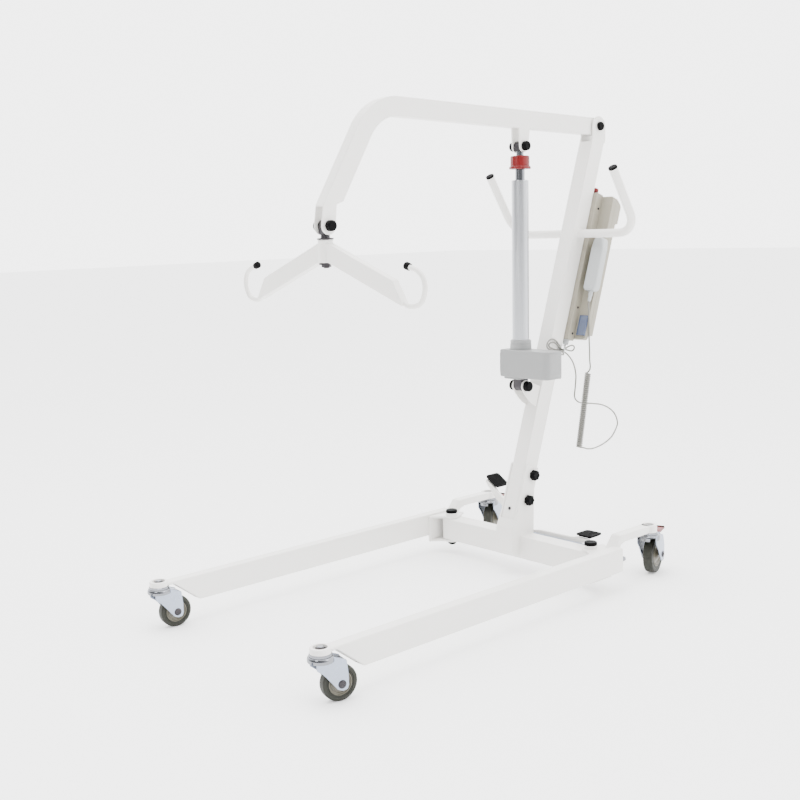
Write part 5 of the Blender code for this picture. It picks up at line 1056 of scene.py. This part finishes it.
def capped_pin(shaft, seat, reach, cap, edge=0.003, lobes=0, depth=0.0, inner=None):
    """A pin along X with a domed cap outside each seat, or with one cap when it is a stub from x = inner."""
    rim = arc((cap - edge, reach - edge), edge, 90, 0, 5)
    face = [(0, reach - 0.0007), (0.32 * cap, reach - 0.0007), (0.38 * cap, reach)]
    head = face + rim + [(cap, seat + 0.0008), (cap - 0.0008, seat), (shaft, seat)]
    tail = [(shaft, inner), (0, inner)] if inner is not None else [(r, -h) for r, h in reversed(head)]
    pin = turned(head + tail, steps=112 if lobes else 32)
    if lobes:
        flute(pin, lobes, depth, 0.75 * cap)
    return put(pin, ALONG_X)


def knobs_and_pins():
    """The black knobs and caps of the bolts and pins."""
    for name, (t, s) in {"upper": (0.006, 0.2715), "lower": (0.005, 0.2045)}.items():
        knob = capped_pin(0.006, 0.0288, 0.0428, 0.0142, 0.0045, 7, 0.0016)
        done("mast_knob_" + name, put(knob, at(0, t, s)), "black", "base", "mast_bolt_" + name, place=MAST)
    pivot = capped_pin(0.008, 0.0223, 0.0313, 0.0115)
    done("boom_pivot_caps", pivot, "black", "base", "boom_pivot_bolt", place=BOOM)
    top = to_boom(*ACTUATOR_TOP)
    stub = capped_pin(0.005, 0.0153, 0.0285, 0.0118, 0.0038, inner=0.011)
    for side, sign in SIDES.items():
        turn = Matrix.Rotation(math.radians(180), 4, "Z") if sign < 0 else Matrix.Identity(4)
        done("actuator_pin_cap_" + side, put(doubled(stub), at(0, *top) @ turn), "black", "boom_arm",
             "actuator_top_pin_" + side, place=BOOM)
    bpy.data.objects.remove(stub)
    lower = capped_pin(0.005, 0.0183, 0.0318, 0.0135, 0.0042)
    done("actuator_lower_caps", lower, "black", "base", "actuator_lower_pin", place=ACTUATOR)
    swing = capped_pin(0.005, 0.0153, 0.03, 0.012, 0.004)
    done("swing_pin_caps", put(swing, at(0, *SWING_PIN)), "black", "boom_arm", "swing_pin")


def down_to(point, height):
    """The point at a height on the line through a point along the boom's bent part."""
    return (point[0] + (height - point[1]) / math.tan(BOOM_FALL), height)


def boom_edges(half, start, steps=20):
    """The tube's upper and lower edges in (v, w): straight from the rear, then an arc."""
    centre = (BOOM_CORNER + BOOM_RADIUS * math.tan(BOOM_FALL / 2), -BOOM_RADIUS)
    upper = [(start, half)] + arc(centre, BOOM_RADIUS + half, 90, 150, steps)
    lower = arc(centre, BOOM_RADIUS - half, 150, 90, steps) + [(start, -half)]
    return upper, lower


def boom_tube():
    """The bent boom with the tabs of the swing pin at its tip and the ears of the actuator's pin below."""
    half, side = 0.0225, 0.015
    upper, lower = boom_edges(half, 0.0)
    pin, ear = to_boom(*SWING_PIN), to_boom(*ACTUATOR_TOP)
    tab = arc(pin, 0.02, 172, 368, 18)
    outline = upper + [down_to(upper[-1], -0.224)] + tab + [(tab[-1][0] + 0.0035, -0.2235)]
    outline += [down_to(lower[0], -0.2165)] + lower[:-1] + arc((0, 0), half, -90, 90, 16)[:-1]
    main = soften(slab(outline, "x", -side, side), 0.0022, 3)
    ears = [(ear[0] - 0.018, 0.0055 - half)] + arc(ear, 0.0155, 195, 345, 14)
    ears += [(ear[0] + 0.022, 0.0055 - half)]
    carve(main, soften(slab(ears, "x", -side, side), 0.001, 2), operation="UNION")
    upper_in, lower_in = boom_edges(half - 0.003, 0.03)
    bore = upper_in + [down_to(upper_in[-1], -0.228), (pin[0] - 0.05, -0.228), (pin[0] - 0.05, -0.36),
                       (pin[0] + 0.05, -0.36), (pin[0] + 0.05, -0.2205), down_to(lower_in[0], -0.2205)]
    carve(main, slab(bore + lower_in, "x", -side + 0.003, side - 0.003),
          block((-0.011, 0.011), (ear[0] - 0.05, ear[0] + 0.05), (ear[1] - 0.05, -half + 0.0005)))
    hub = turned([(0, 0.0182), (0.014, 0.0182), (0.014, -0.0182), (0, -0.0182)])
    done("painted_boom", gather(main, put(hub, ALONG_X)), "paint", "boom_arm", "boom", place=BOOM)


def push_handle():
    """The bent round tube through the mast, with weld beads at its walls and black caps in its open ends."""
    bar = from_mast(*HANDLE_BAR)
    ends = [Vector((sign * HANDLE_X, *HANDLE_END)) for sign in (-1, 1)]
    corners = [Vector((sign * HANDLE_X, *bar)) for sign in (-1, 1)]
    route = filleted_path([ends[0], corners[0], corners[1], ends[1]], HANDLE_BEND, 16)
    weld = [(0.0108, -0.0004), (0.0138, -0.0004), (0.0134, 0.001), (0.0122, 0.002), (0.0108, 0.003),
            (0.0108, -0.0004)]
    beads = [turned(weld, at(sign * MAST_HALF_WIDTH, *bar) @ outward(sign), 32) for sign in (-1, 1)]
    done("painted_push_handle", gather(pipe(route, HANDLE_RADIUS, 8), *beads), "paint", "base",
         "push_handle")
    for side, end, corner in zip(SIDES, ends, corners):
        rim = arc((0.0094, 0.0038), 0.0022, 90, 0, 5)
        cap = turned([(0, 0.0062), (0.006, 0.0061)] + rim + [(0.0116, GAP), (0, GAP)],
                     towards(end, (end - corner).normalized()))
        done("handle_end_cap_" + side, cap, "black", "base", "handle_cap_" + side)


# Actuator, in its own frame: h up along it from the lower pin

def motor_housing():
    """The barrel-ended housing on its stepped base, with the slot for the cable behind it."""
    shape = rounded([(-0.047, -0.0335), (0.1205, -0.0335), (0.1205, 0.028), (-0.047, 0.028)],
                    [0.008, 0.02, 0.014, 0.012], 8)
    body = slab(shape, "z", 0.0245, 0.096)
    middle, reach = 0.06025, 0.03775
    radius = (reach ** 2 + 0.0045 ** 2) / 0.009
    spread = math.degrees(math.asin(reach / radius))
    end = arc((0.1206 - radius, middle), radius, -spread, spread, 10)
    other = arc((radius - 0.0471, middle), radius, 180 - spread, 180 + spread, 10)
    barrel = slab(end + other, "y", -0.0435, 0.038)
    carve(body, barrel, operation="INTERSECT")
    soften(body, sizes().moulding_edge, 3, 50)
    carve(body, block((0.0332, 0.0388), (0.0185, 0.038), (0.0702, 0.0788)))
    step = soften(slab(rounded([(-0.035, -0.0295), (0.02, -0.0295), (0.02, 0.024), (-0.035, 0.024)], 0.006),
                       "z", 0.0195, 0.0255), 0.001, 2)
    done("motor_housing_shell", gather(body, step), "motor", "actuator_body", "motor_housing", place=ACTUATOR)
    lug = [(-0.014, 0.0285)] + arc((0, 0), 0.0135, 180, 360, 16) + [(0.014, 0.0285)]
    done("actuator_lower_eye", soften(slab(lug, "x", -0.0134, 0.0134), 0.0008, 2), "steel", "actuator_body",
         place=ACTUATOR)


def actuator_tubes():
    """The collar on the housing, the anodised tube, the chrome rod with its eye, and the red collar."""
    collar = turned([(0, 0.121), (0.0235, 0.121), (0.0258, 0.1202), (0.0268, 0.118), (0.027, 0.112),
                     (0.0264, 0.1116), (0.0264, 0.1106), (0.0272, 0.1102), (0.028, 0.0963), (0, 0.0963)],
                    steps=64)
    done("tube_foot_collar", collar, "motor", "actuator_body", "tube_collar", place=ACTUATOR)
    tube = turned([(0, 0.131), (0.014, 0.131), (0.014, 0.5262), (0.0148, 0.527), (0.0196, 0.527),
                   (0.021, 0.5262), (0.0215, 0.5245), (0.0215, 0.1213), (0, 0.1213)], steps=64)
    done("anodised_outer_tube", tube, "tube", "actuator_body", "actuator_tube", place=ACTUATOR)
    rod = turned([(0, ACTUATOR_LENGTH - 0.009), (0.0095, ACTUATOR_LENGTH - 0.009), (0.0095, 0.5535),
                  (0.0112, 0.5535), (0.012, 0.5527), (0.012, 0.156), (0, 0.156)])
    done("chromed_rod", rod, "chrome", "rod", "actuator_rod", place=ACTUATOR)
    low = ACTUATOR_LENGTH - 0.0125
    eye = [(-0.0125, low)] + arc((0, ACTUATOR_LENGTH), 0.0125, 180, 0, 14) + [(0.0125, low)]
    done("rod_eye_block", soften(slab(eye, "x", -0.0107, 0.0107), 0.0008, 2), "steel", "rod", place=ACTUATOR)
    red = turned([(0.0098, 0.5875), (0.0208, 0.5875), (0.0228, 0.5868), (0.024, 0.585), (0.0243, 0.564),
                  (0.0245, 0.5622), (0.0272, 0.56), (0.0275, 0.5585), (0.0275, 0.5556), (0.0268, 0.5546),
                  (0.0098, 0.5546), (0.0098, 0.5875)], steps=120)
    flute(red, 12, 0.0022, 0.02)
    done("red_lowering_collar", red, "red", "release_collar", "lowering_collar", place=ACTUATOR)


# Spreader bar

def swing_bracket():
    """The blackened block between the boom's tabs, with washers, stem and nut."""
    y, z = SWING_PIN
    top, bottom = SPREADER_TOP_Z, SPREADER_BOTTOM_Z
    outline = arc((y, z), 0.0125, 180, 0, 14) + [(y + 0.0095, top + 0.0115), (y - 0.0095, top + 0.0115)]
    body = soften(slab(outline, "x", -0.0105, 0.0105), 0.001, 2)
    stem = turned([(0, top + 0.0125), (0.0092, top + 0.0125), (0.01, top + 0.0115), (0.0104, top + 0.0045),
                   (0.0185, top + 0.0033), (0.0185, top + 0.0006), (0.0182, top + GAP), (0.0065, top + GAP),
                   (0.0065, bottom - GAP), (0.0157, bottom - GAP), (0.016, bottom - 0.001),
                   (0.016, bottom - 0.004), (0.0155, bottom - 0.0045), (0.0065, bottom - 0.0045),
                   (0.0065, bottom - 0.0115), (0.0055, bottom - 0.012), (0, bottom - 0.012)], at(0, y, 0))
    nut = turned([(0, bottom - 0.004), (0.011, bottom - 0.004), (0.011, bottom - 0.0092),
                  (0.01, bottom - 0.01), (0, bottom - 0.01)], at(0, y, 0), steps=6)
    done("blackened_swing_block", gather(body, stem, nut), "steel", "hanger", "swing_bracket")


def spreader():
    """The sleeve with two sloping arms of rectangular tube, and round-bar hooks with black tips."""
    y = SWING_PIN[0]
    top, bottom = SPREADER_TOP_Z, SPREADER_BOTTOM_Z
    sleeve = turned([(0.0068, top), (0.016, top), (0.017, top - 0.001), (0.017, bottom + 0.001),
                     (0.016, bottom), (0.0068, bottom), (0.0068, top)], at(0, y, 0))
    drop = math.tan(SPREADER_SLOPE)
    tall = 0.04 / math.cos(SPREADER_SLOPE)
    high = top - 0.001
    parts = []
    for sign in (-1, 1):
        low_z = high - tall - 0.26 * drop
        arm = [(0.012, high - 0.012 * drop), (0.224, high - 0.224 * drop), (0.26, low_z),
               (0.012, high - tall - 0.012 * drop)]
        outline = rounded([(sign * x, z) for x, z in arm], [0, 0.006, 0.004, 0])
        parts.append(soften(slab(outline, "y", y - 0.01, y + 0.01), 0.0022, 3))
        hook = [(0.236, low_z + 0.0175), (0.262, low_z + 0.004), (0.286, 0.75), (0.303, 0.759),
                (0.313, 0.783), (0.3085, 0.806), HOOK_BEFORE_END, HOOK_END]
        parts.append(pipe(smooth_route([(sign * x, y, z) for x, z in hook], 0.004), 0.0055, 5))
    bore = turned([(0, 1.0), (0.0068, 1.0), (0.0068, 0.7), (0, 0.7)], at(0, y, 0))
    for arm in parts[::2]:
        carve(arm, doubled(bore))
    bpy.data.objects.remove(bore)
    done("painted_spreader", gather(sleeve, *parts), "paint", "spreader", "spreader_bar")
    for side, sign in SIDES.items():
        tip, before = (Vector((sign * x, y, z)) for x, z in (HOOK_END, HOOK_BEFORE_END))
        rim = arc((0.0044, 0.0102), 0.0038, 90, 0, 6)
        cap = turned([(0, 0.014)] + rim + [(0.0078, 0.001), (0.0074, GAP), (0, GAP)],
                     towards(tip, (tip - before).normalized()))
        done("hook_end_cap_" + side, cap, "black", "spreader", "hook_tip_" + side)


# Pedals

def rocked(obj):
    """A copy of a piece of the right arm, mirrored and lifted by the rocker's swing for the left arm."""
    pivot = at(0, 0, ROCKER_Z)
    return put(mirrored(obj), pivot @ Matrix.Rotation(ROCKER_SWING, 4, "Y") @ pivot.inverted())


def crank_pin(sign):
    """The crank pin's place across and up, and its distance from the rocker's stud."""
    swing = ROCKER_SWING / 2
    radius = TIE_ARM * math.sin(TIE_LEAN) / math.sin(swing)
    return sign * radius * math.sin(swing), ROCKER_Z + sign * radius * math.cos(swing), radius


def pedals():
    """The two-armed rocker with its crank pins, the ribbed pads, and the tie rods to the legs."""
    front, rear, seat = 0.046, 0.054, 0.1105
    outline = rounded([(0.0, ROCKER_Z + 0.02), (0.045, 0.106), (0.147, 0.107), (0.164, 0.11),
                       (0.201, 0.11), (0.201, 0.1025), (0.147, 0.088), (0.045, 0.085),
                       (0.0, ROCKER_Z - 0.02)],
                      [0, 0.03, 0.02, 0, 0, 0.004, 0.03, 0.03, 0])
    arm = soften(slab(outline, "y", front, rear), 0.0008, 2)
    shelf = soften(block((0.17, 0.198), (front + 0.001, 0.086), (seat - 0.004, seat)), 0.0006, 2)
    arms = gather(arm, shelf)
    hub = turned([(0.0053, 0.054), (0.0202, 0.054), (0.021, 0.0532), (0.021, 0.0468), (0.0202, 0.046),
                  (0.0053, 0.046), (0.0053, 0.054)], at(0, 0, ROCKER_Z) @ BACKWARD)
    lug_x, lug_y = TIE_PIN
    bore = turned([(0, 0.1), (0.0053, 0.1), (0.0053, 0), (0, 0)], at(0, 0, ROCKER_Z) @ BACKWARD)
    left_arms = rocked(arms)
    for obj in (arms, left_arms):
        carve(obj, doubled(bore))
    bpy.data.objects.remove(bore)
    cranks = []
    for side, sign in SIDES.items():
        x, z, radius = crank_pin(sign)
        cranks.append(turned([(0, 0.05), (0.003, 0.05), (0.003, lug_y - 0.0039), (0.0026, lug_y - 0.0045),
                              (0, lug_y - 0.0045)], at(x, 0, z) @ BACKWARD, 24))
        level = ROCKER_Z + sign * radius * (1 + math.cos(ROCKER_SWING / 2)) / 2
        eye = [(0.0044, 0.003), (0.008, 0.003), (0.0085, 0.0025), (0.0085, -0.0025), (0.008, -0.003),
               (0.0044, -0.003), (0.0044, 0.003)]
        ends = sorted((x + sign * 0.006, sign * (lug_x - 0.006)))
        rod = pipe([(ends[0], lug_y, level), (ends[1], lug_y, level)], 0.0035, 4)
        crank_eye = put(turned(eye, steps=32), at(x, (lug_y - 0.003 + front - GAP) / 2, level) @ FORWARD)
        leg_eye = put(turned(eye, steps=32), at(sign * lug_x, lug_y, level))
        done("tie_rod_bar_" + side, gather(rod, crank_eye, leg_eye), "zinc", "link_" + side,
             "tie_rod_" + side)
    done("painted_rocker", gather(arms, left_arms, hub, *cranks), "paint", "pedals", "pedal_rocker")
    pad = pedal_pad()
    left_pad = rocked(pad)
    done("ribbed_pad_right", pad, "black", "pedals", "pedal_pad_right")
    done("ribbed_pad_left", left_pad, "black", "pedals", "pedal_pad_left")


def pedal_pad():
    """An eight-sided rubber pad on a smaller foot, with shallow ribs on top."""
    x, y, half, corner, low = 0.184, 0.07, 0.025, 0.0055, 0.1108
    inner = half - corner
    corners = ((-inner, -half), (inner, -half), (half, -inner), (half, inner), (inner, half), (-inner, half),
               (-half, inner), (-half, -inner))
    draw([(x + a, y + b, low + 0.004) for a, b in corners], True)
    bpy.ops.mesh.extrude_region_move(TRANSFORM_OT_translate={"value": (0, 0, 0.0042)})
    pad = shut()
    foot = soften(block((x - 0.019, x + 0.019), (y - 0.019, y + 0.019), (low, low + 0.005)), 0.0016, 2)
    ribs = []
    for b in np.linspace(-0.019, 0.019, 9):
        rib = block((x - 0.02, x + 0.02), (y + b - 0.0012, y + b + 0.0012), (low + 0.007, low + 0.009))
        ribs.append(soften(rib, 0.0004, 1))
    return gather(soften(pad, 0.0012, 3), foot, *ribs)


# Control box, battery, stop button and pendant, in the mast's frame

def control_box():
    """The spine on the mast and the tray behind it, with seams, screws, and two plugs below."""
    front, back = 0.0253, 0.0492
    spine = soften(block((-0.035, 0.035), (front, 0.0512), (0.645, BOX_TOP)), 0.0022, 3)
    tray = soften(slab(rounded([(-0.072, 0.651), (0.072, 0.651), (0.072, 1.046), (-0.072, 1.046)], 0.008),
                       "y", back, 0.062), 0.0014, 2)
    well = turned([(0, 1.06), (0.0088, 1.06), (0.0088, 1.04), (0, 1.04)], at(*STOP_PLACE, 0))
    carve(spine, well)
    for s in (0.8035, 0.69, 0.99):
        for sign in (-1, 1):
            carve(spine, block(sorted((sign * 0.0345, sign * 0.036)), (front - 0.001, back), (s, s + 0.0011)))
    done("box_spine_and_tray", gather(spine, tray), "box", "base", "control_box", place=MAST)
    plug = [(0, 0.649), (0.0092, 0.649), (0.0089, 0.6425), (0.0078, 0.642), (0.0076, 0.639),
            (0.008, 0.6385), (0.0072, 0.6325), (0.005, 0.631), (0, 0.631)]
    for name, finish in (("pendant", "pendant"), ("motor", "black")):
        done(name + "_plug_body", turned(plug, at(PLUG_XS[name], 0.038, 0)), finish, "base", place=MAST)
    screw = turned([(0, 0.0004), (0.001, 0.0004), (0.0014, 0.0012), (0.0026, 0.0012), (0.0032, 0.0004),
                    (0.0032, -0.001), (0, -0.001)], steps=20)
    heads = [put(doubled(screw), at(sign * 0.035, 0.04, s) @ outward(sign))
             for sign in (-1, 1) for s in (1.009, 0.735, 0.6635)]
    bpy.data.objects.remove(screw)
    done("box_screws", gather(*heads), "steel", "base", place=MAST)
    cover = soften(block((0.043, 0.0715), (0.044, 0.0494), (0.661, 0.716)), 0.0018, 3)
    done("socket_cover", cover, "cover", "base", place=MAST)


def battery():
    """The removable battery, round at its rear edges, with a brow to lift it by and a latch below it."""
    front, half = 0.0623, 0.071

    def layer(rear, low, high, radius, half=half):
        corners = [(-half, front), (half, front), (half, rear), (-half, rear)]
        return slab(rounded(corners, [0, 0, radius, radius], 8), "z", low, high)

    body = soften(layer(0.088, 0.668, 1.039, 0.024), 0.0024, 3, 50)
    grip = layer(0.102, 0.95, 1.06, 0.03, half - 0.0005)
    brow = rounded([(front - 0.01, 0.964), (0.099, 0.985), (0.103, 1.002), (0.097, 1.027),
                    (0.0683, 1.0435), (front - 0.01, 1.0435)], [0, 0.004, 0.006, 0.008, 0, 0])
    carve(grip, slab(brow, "x", -half - 0.01, half + 0.01), operation="INTERSECT")
    soften(grip, 0.0008, 2, 60)
    for s in (0.72, 0.8035):
        carve(body, block((-0.09, 0.09), (0.0868, 0.1), (s, s + 0.0012)))
    latch = soften(block((-0.02, 0.02), (0.0872, 0.0892), (0.955, 0.975)), 0.0009, 2)
    done("battery_case", gather(body, grip, latch), "box", "base", "battery_pack", place=MAST)


def stop_button():
    """The red mushroom button of the control box."""
    s = BOX_TOP
    rim = arc((0.0078, s + 0.0127), 0.0032, 80, 0, 6)
    knob = turned([(0, s + 0.0155), (0.0045, s + 0.0158)] + rim + [(0.011, s + 0.0075), (0.0102, s + 0.0062),
                  (0.008, s + 0.0055), (0.008, s - 0.004), (0, s - 0.004)], steps=48)
    done("red_stop_button", put(knob, at(*STOP_PLACE, 0)), "red", "stop_button", "emergency_stop", place=MAST)


def pendant():
    """The handset with its waisted shell, stepped strain relief, and two keys on the hidden face."""
    left, right, low, high = 0.05, 0.089, 0.78, 0.925
    shape = rounded([(left, low), (right + 0.001, low), (right, high - 0.03), (right - 0.004, high),
                     (left + 0.004, high), (left, high - 0.03)], [0.01, 0.012, 0.03, 0.01, 0.01, 0.03], 8)
    body = soften(slab(shape, "y", 0.024, 0.0489), 0.0055, 4, 60)
    for s in (0.885, 0.855):
        carve(body, block((0.0745, 0.0865), (0.0449, 0.06), (s - 0.01, s + 0.01)))
    relief = turned([(0, 0.786), (0.0062, 0.786), (0.006, 0.777), (0.005, 0.7765), (0.005, 0.7735),
                     (0.0056, 0.773), (0.0052, 0.766), (0.0042, 0.7655), (0.0042, 0.762), (0.0047, 0.7615),
                     (0.004, 0.7525), (0.003, 0.752), (0, 0.752)], at(0.071, 0.0365, 0), 32)
    done("pendant_shell", gather(body, relief), "pendant", "base", "pendant", place=MAST)
    for name, s in (("up", 0.885), ("down", 0.855)):
        key = soften(block((0.075, 0.086), (0.0471, 0.0501), (s - 0.0095, s + 0.0095)), 0.0009, 3)
        done("pendant_key_" + name, key, "black", name + "_key", name + "_button", place=MAST)


# The add-on's own buttons

class PieceButton:
    """What the buttons share: an undo step, and that they need an open scene."""
    bl_options = {"REGISTER", "UNDO"}

    @classmethod
    def poll(cls, context):
        return context.scene is not None


class PatientLiftStage(PieceButton, bpy.types.Operator):
    """Sets the camera at the photograph's view, the pale floor and the soft lights, and makes the finishes"""
    bl_idname = "patient_lift.stage"
    bl_label = "Camera, floor, light and finishes"

    def execute(self, context):
        set_camera()
        set_floor()
        set_lights()
        make_finishes()
        return {"FINISHED"}


class PatientLiftCords(PieceButton, bpy.types.Operator):
    """Strings the pendant's curly cord and the motor's cable, with the band that ties their loops"""
    bl_idname = "patient_lift.cords"
    bl_label = "Cords"

    def execute(self, context):
        pendant_route, motor_route = cord_routes()
        string("pendant_cord", pendant_route, "pendant_cord_upper", "pendant_cord_coil", "pendant_cord_lower")
        string("motor_lead", motor_route, "motor_cable")
        tie_band()
        return {"FINISHED"}


class PatientLiftBase(PieceButton, bpy.types.Operator):
    """Models the crossbar with the mast's socket, both legs and their pivots"""
    bl_idname = "patient_lift.base"
    bl_label = "Crossbar and legs"

    def execute(self, context):
        crossbar()
        pivot_bolts()
        legs()
        return {"FINISHED"}


class PatientLiftCasters(PieceButton, bpy.types.Operator):
    """Models the four casters with their stems, forks, wheels and foot brakes"""
    bl_idname = "patient_lift.casters"
    bl_label = "Casters and brakes"

    def execute(self, context):
        casters()
        return {"FINISHED"}


class PatientLiftMast(PieceButton, bpy.types.Operator):
    """Models the mast, the boom and the push handle"""
    bl_idname = "patient_lift.mast"
    bl_label = "Mast, boom and handle"

    def execute(self, context):
        mast_column()
        boom_tube()
        push_handle()
        return {"FINISHED"}


class PatientLiftPins(PieceButton, bpy.types.Operator):
    """Models the black knobs and the capped pins of every joint"""
    bl_idname = "patient_lift.pins"
    bl_label = "Knobs and pins"

    def execute(self, context):
        knobs_and_pins()
        return {"FINISHED"}


class PatientLiftActuator(PieceButton, bpy.types.Operator):
    """Models the actuator: housing, tubes, rod and red lowering collar"""
    bl_idname = "patient_lift.actuator"
    bl_label = "Actuator"

    def execute(self, context):
        motor_housing()
        actuator_tubes()
        return {"FINISHED"}


class PatientLiftSpreader(PieceButton, bpy.types.Operator):
    """Models the swing block and the spreader bar with its hooks"""
    bl_idname = "patient_lift.spreader"
    bl_label = "Spreader bar"

    def execute(self, context):
        swing_bracket()
        spreader()
        return {"FINISHED"}


class PatientLiftPedals(PieceButton, bpy.types.Operator):
    """Models the rocker, its ribbed pads and the tie rods"""
    bl_idname = "patient_lift.pedals"
    bl_label = "Pedals"

    def execute(self, context):
        pedals()
        return {"FINISHED"}


class PatientLiftElectrics(PieceButton, bpy.types.Operator):
    """Models the control box, battery, stop button and pendant"""
    bl_idname = "patient_lift.electrics"
    bl_label = "Control box and pendant"

    def execute(self, context):
        control_box()
        battery()
        stop_button()
        pendant()
        return {"FINISHED"}


BUTTONS = (PatientLiftStage, PatientLiftCords, PatientLiftBase, PatientLiftCasters, PatientLiftMast,
           PatientLiftPins, PatientLiftActuator, PatientLiftSpreader, PatientLiftPedals, PatientLiftElectrics)


class PatientLiftPanel(bpy.types.Panel):
    """Lists the buttons in the order in which the lift is made."""
    bl_idname = "VIEW3D_PT_patient_lift"
    bl_label = "Patient lift"
    bl_space_type = "VIEW_3D"
    bl_region_type = "UI"
    bl_category = "Patient lift"

    def draw(self, context):
        layout = self.layout
        for button in BUTTONS:
            layout.operator(button.bl_idname)
        for group in (context.scene.patient_lift_sizes, context.scene.patient_lift_colours):
            for name in group.bl_rna.properties.keys():
                if name not in ("rna_type", "name"):
                    layout.prop(group, name)


CLASSES = (PatientLiftColours, PatientLiftSizes, *BUTTONS, PatientLiftPanel)


def register():
    for made in CLASSES:
        bpy.utils.register_class(made)
    bpy.types.Scene.patient_lift_colours = PointerProperty(type=PatientLiftColours)
    bpy.types.Scene.patient_lift_sizes = PointerProperty(type=PatientLiftSizes)


def unregister():
    del bpy.types.Scene.patient_lift_sizes
    del bpy.types.Scene.patient_lift_colours
    for made in reversed(CLASSES):
        bpy.utils.unregister_class(made)


def main():
    """Builds the stage and every piece."""
    register()
    for button in BUTTONS:
        group, name = button.bl_idname.split(".")
        getattr(getattr(bpy.ops, group), name)()
    bpy.context.view_layer.update()


if __name__ == "__main__":
    main()
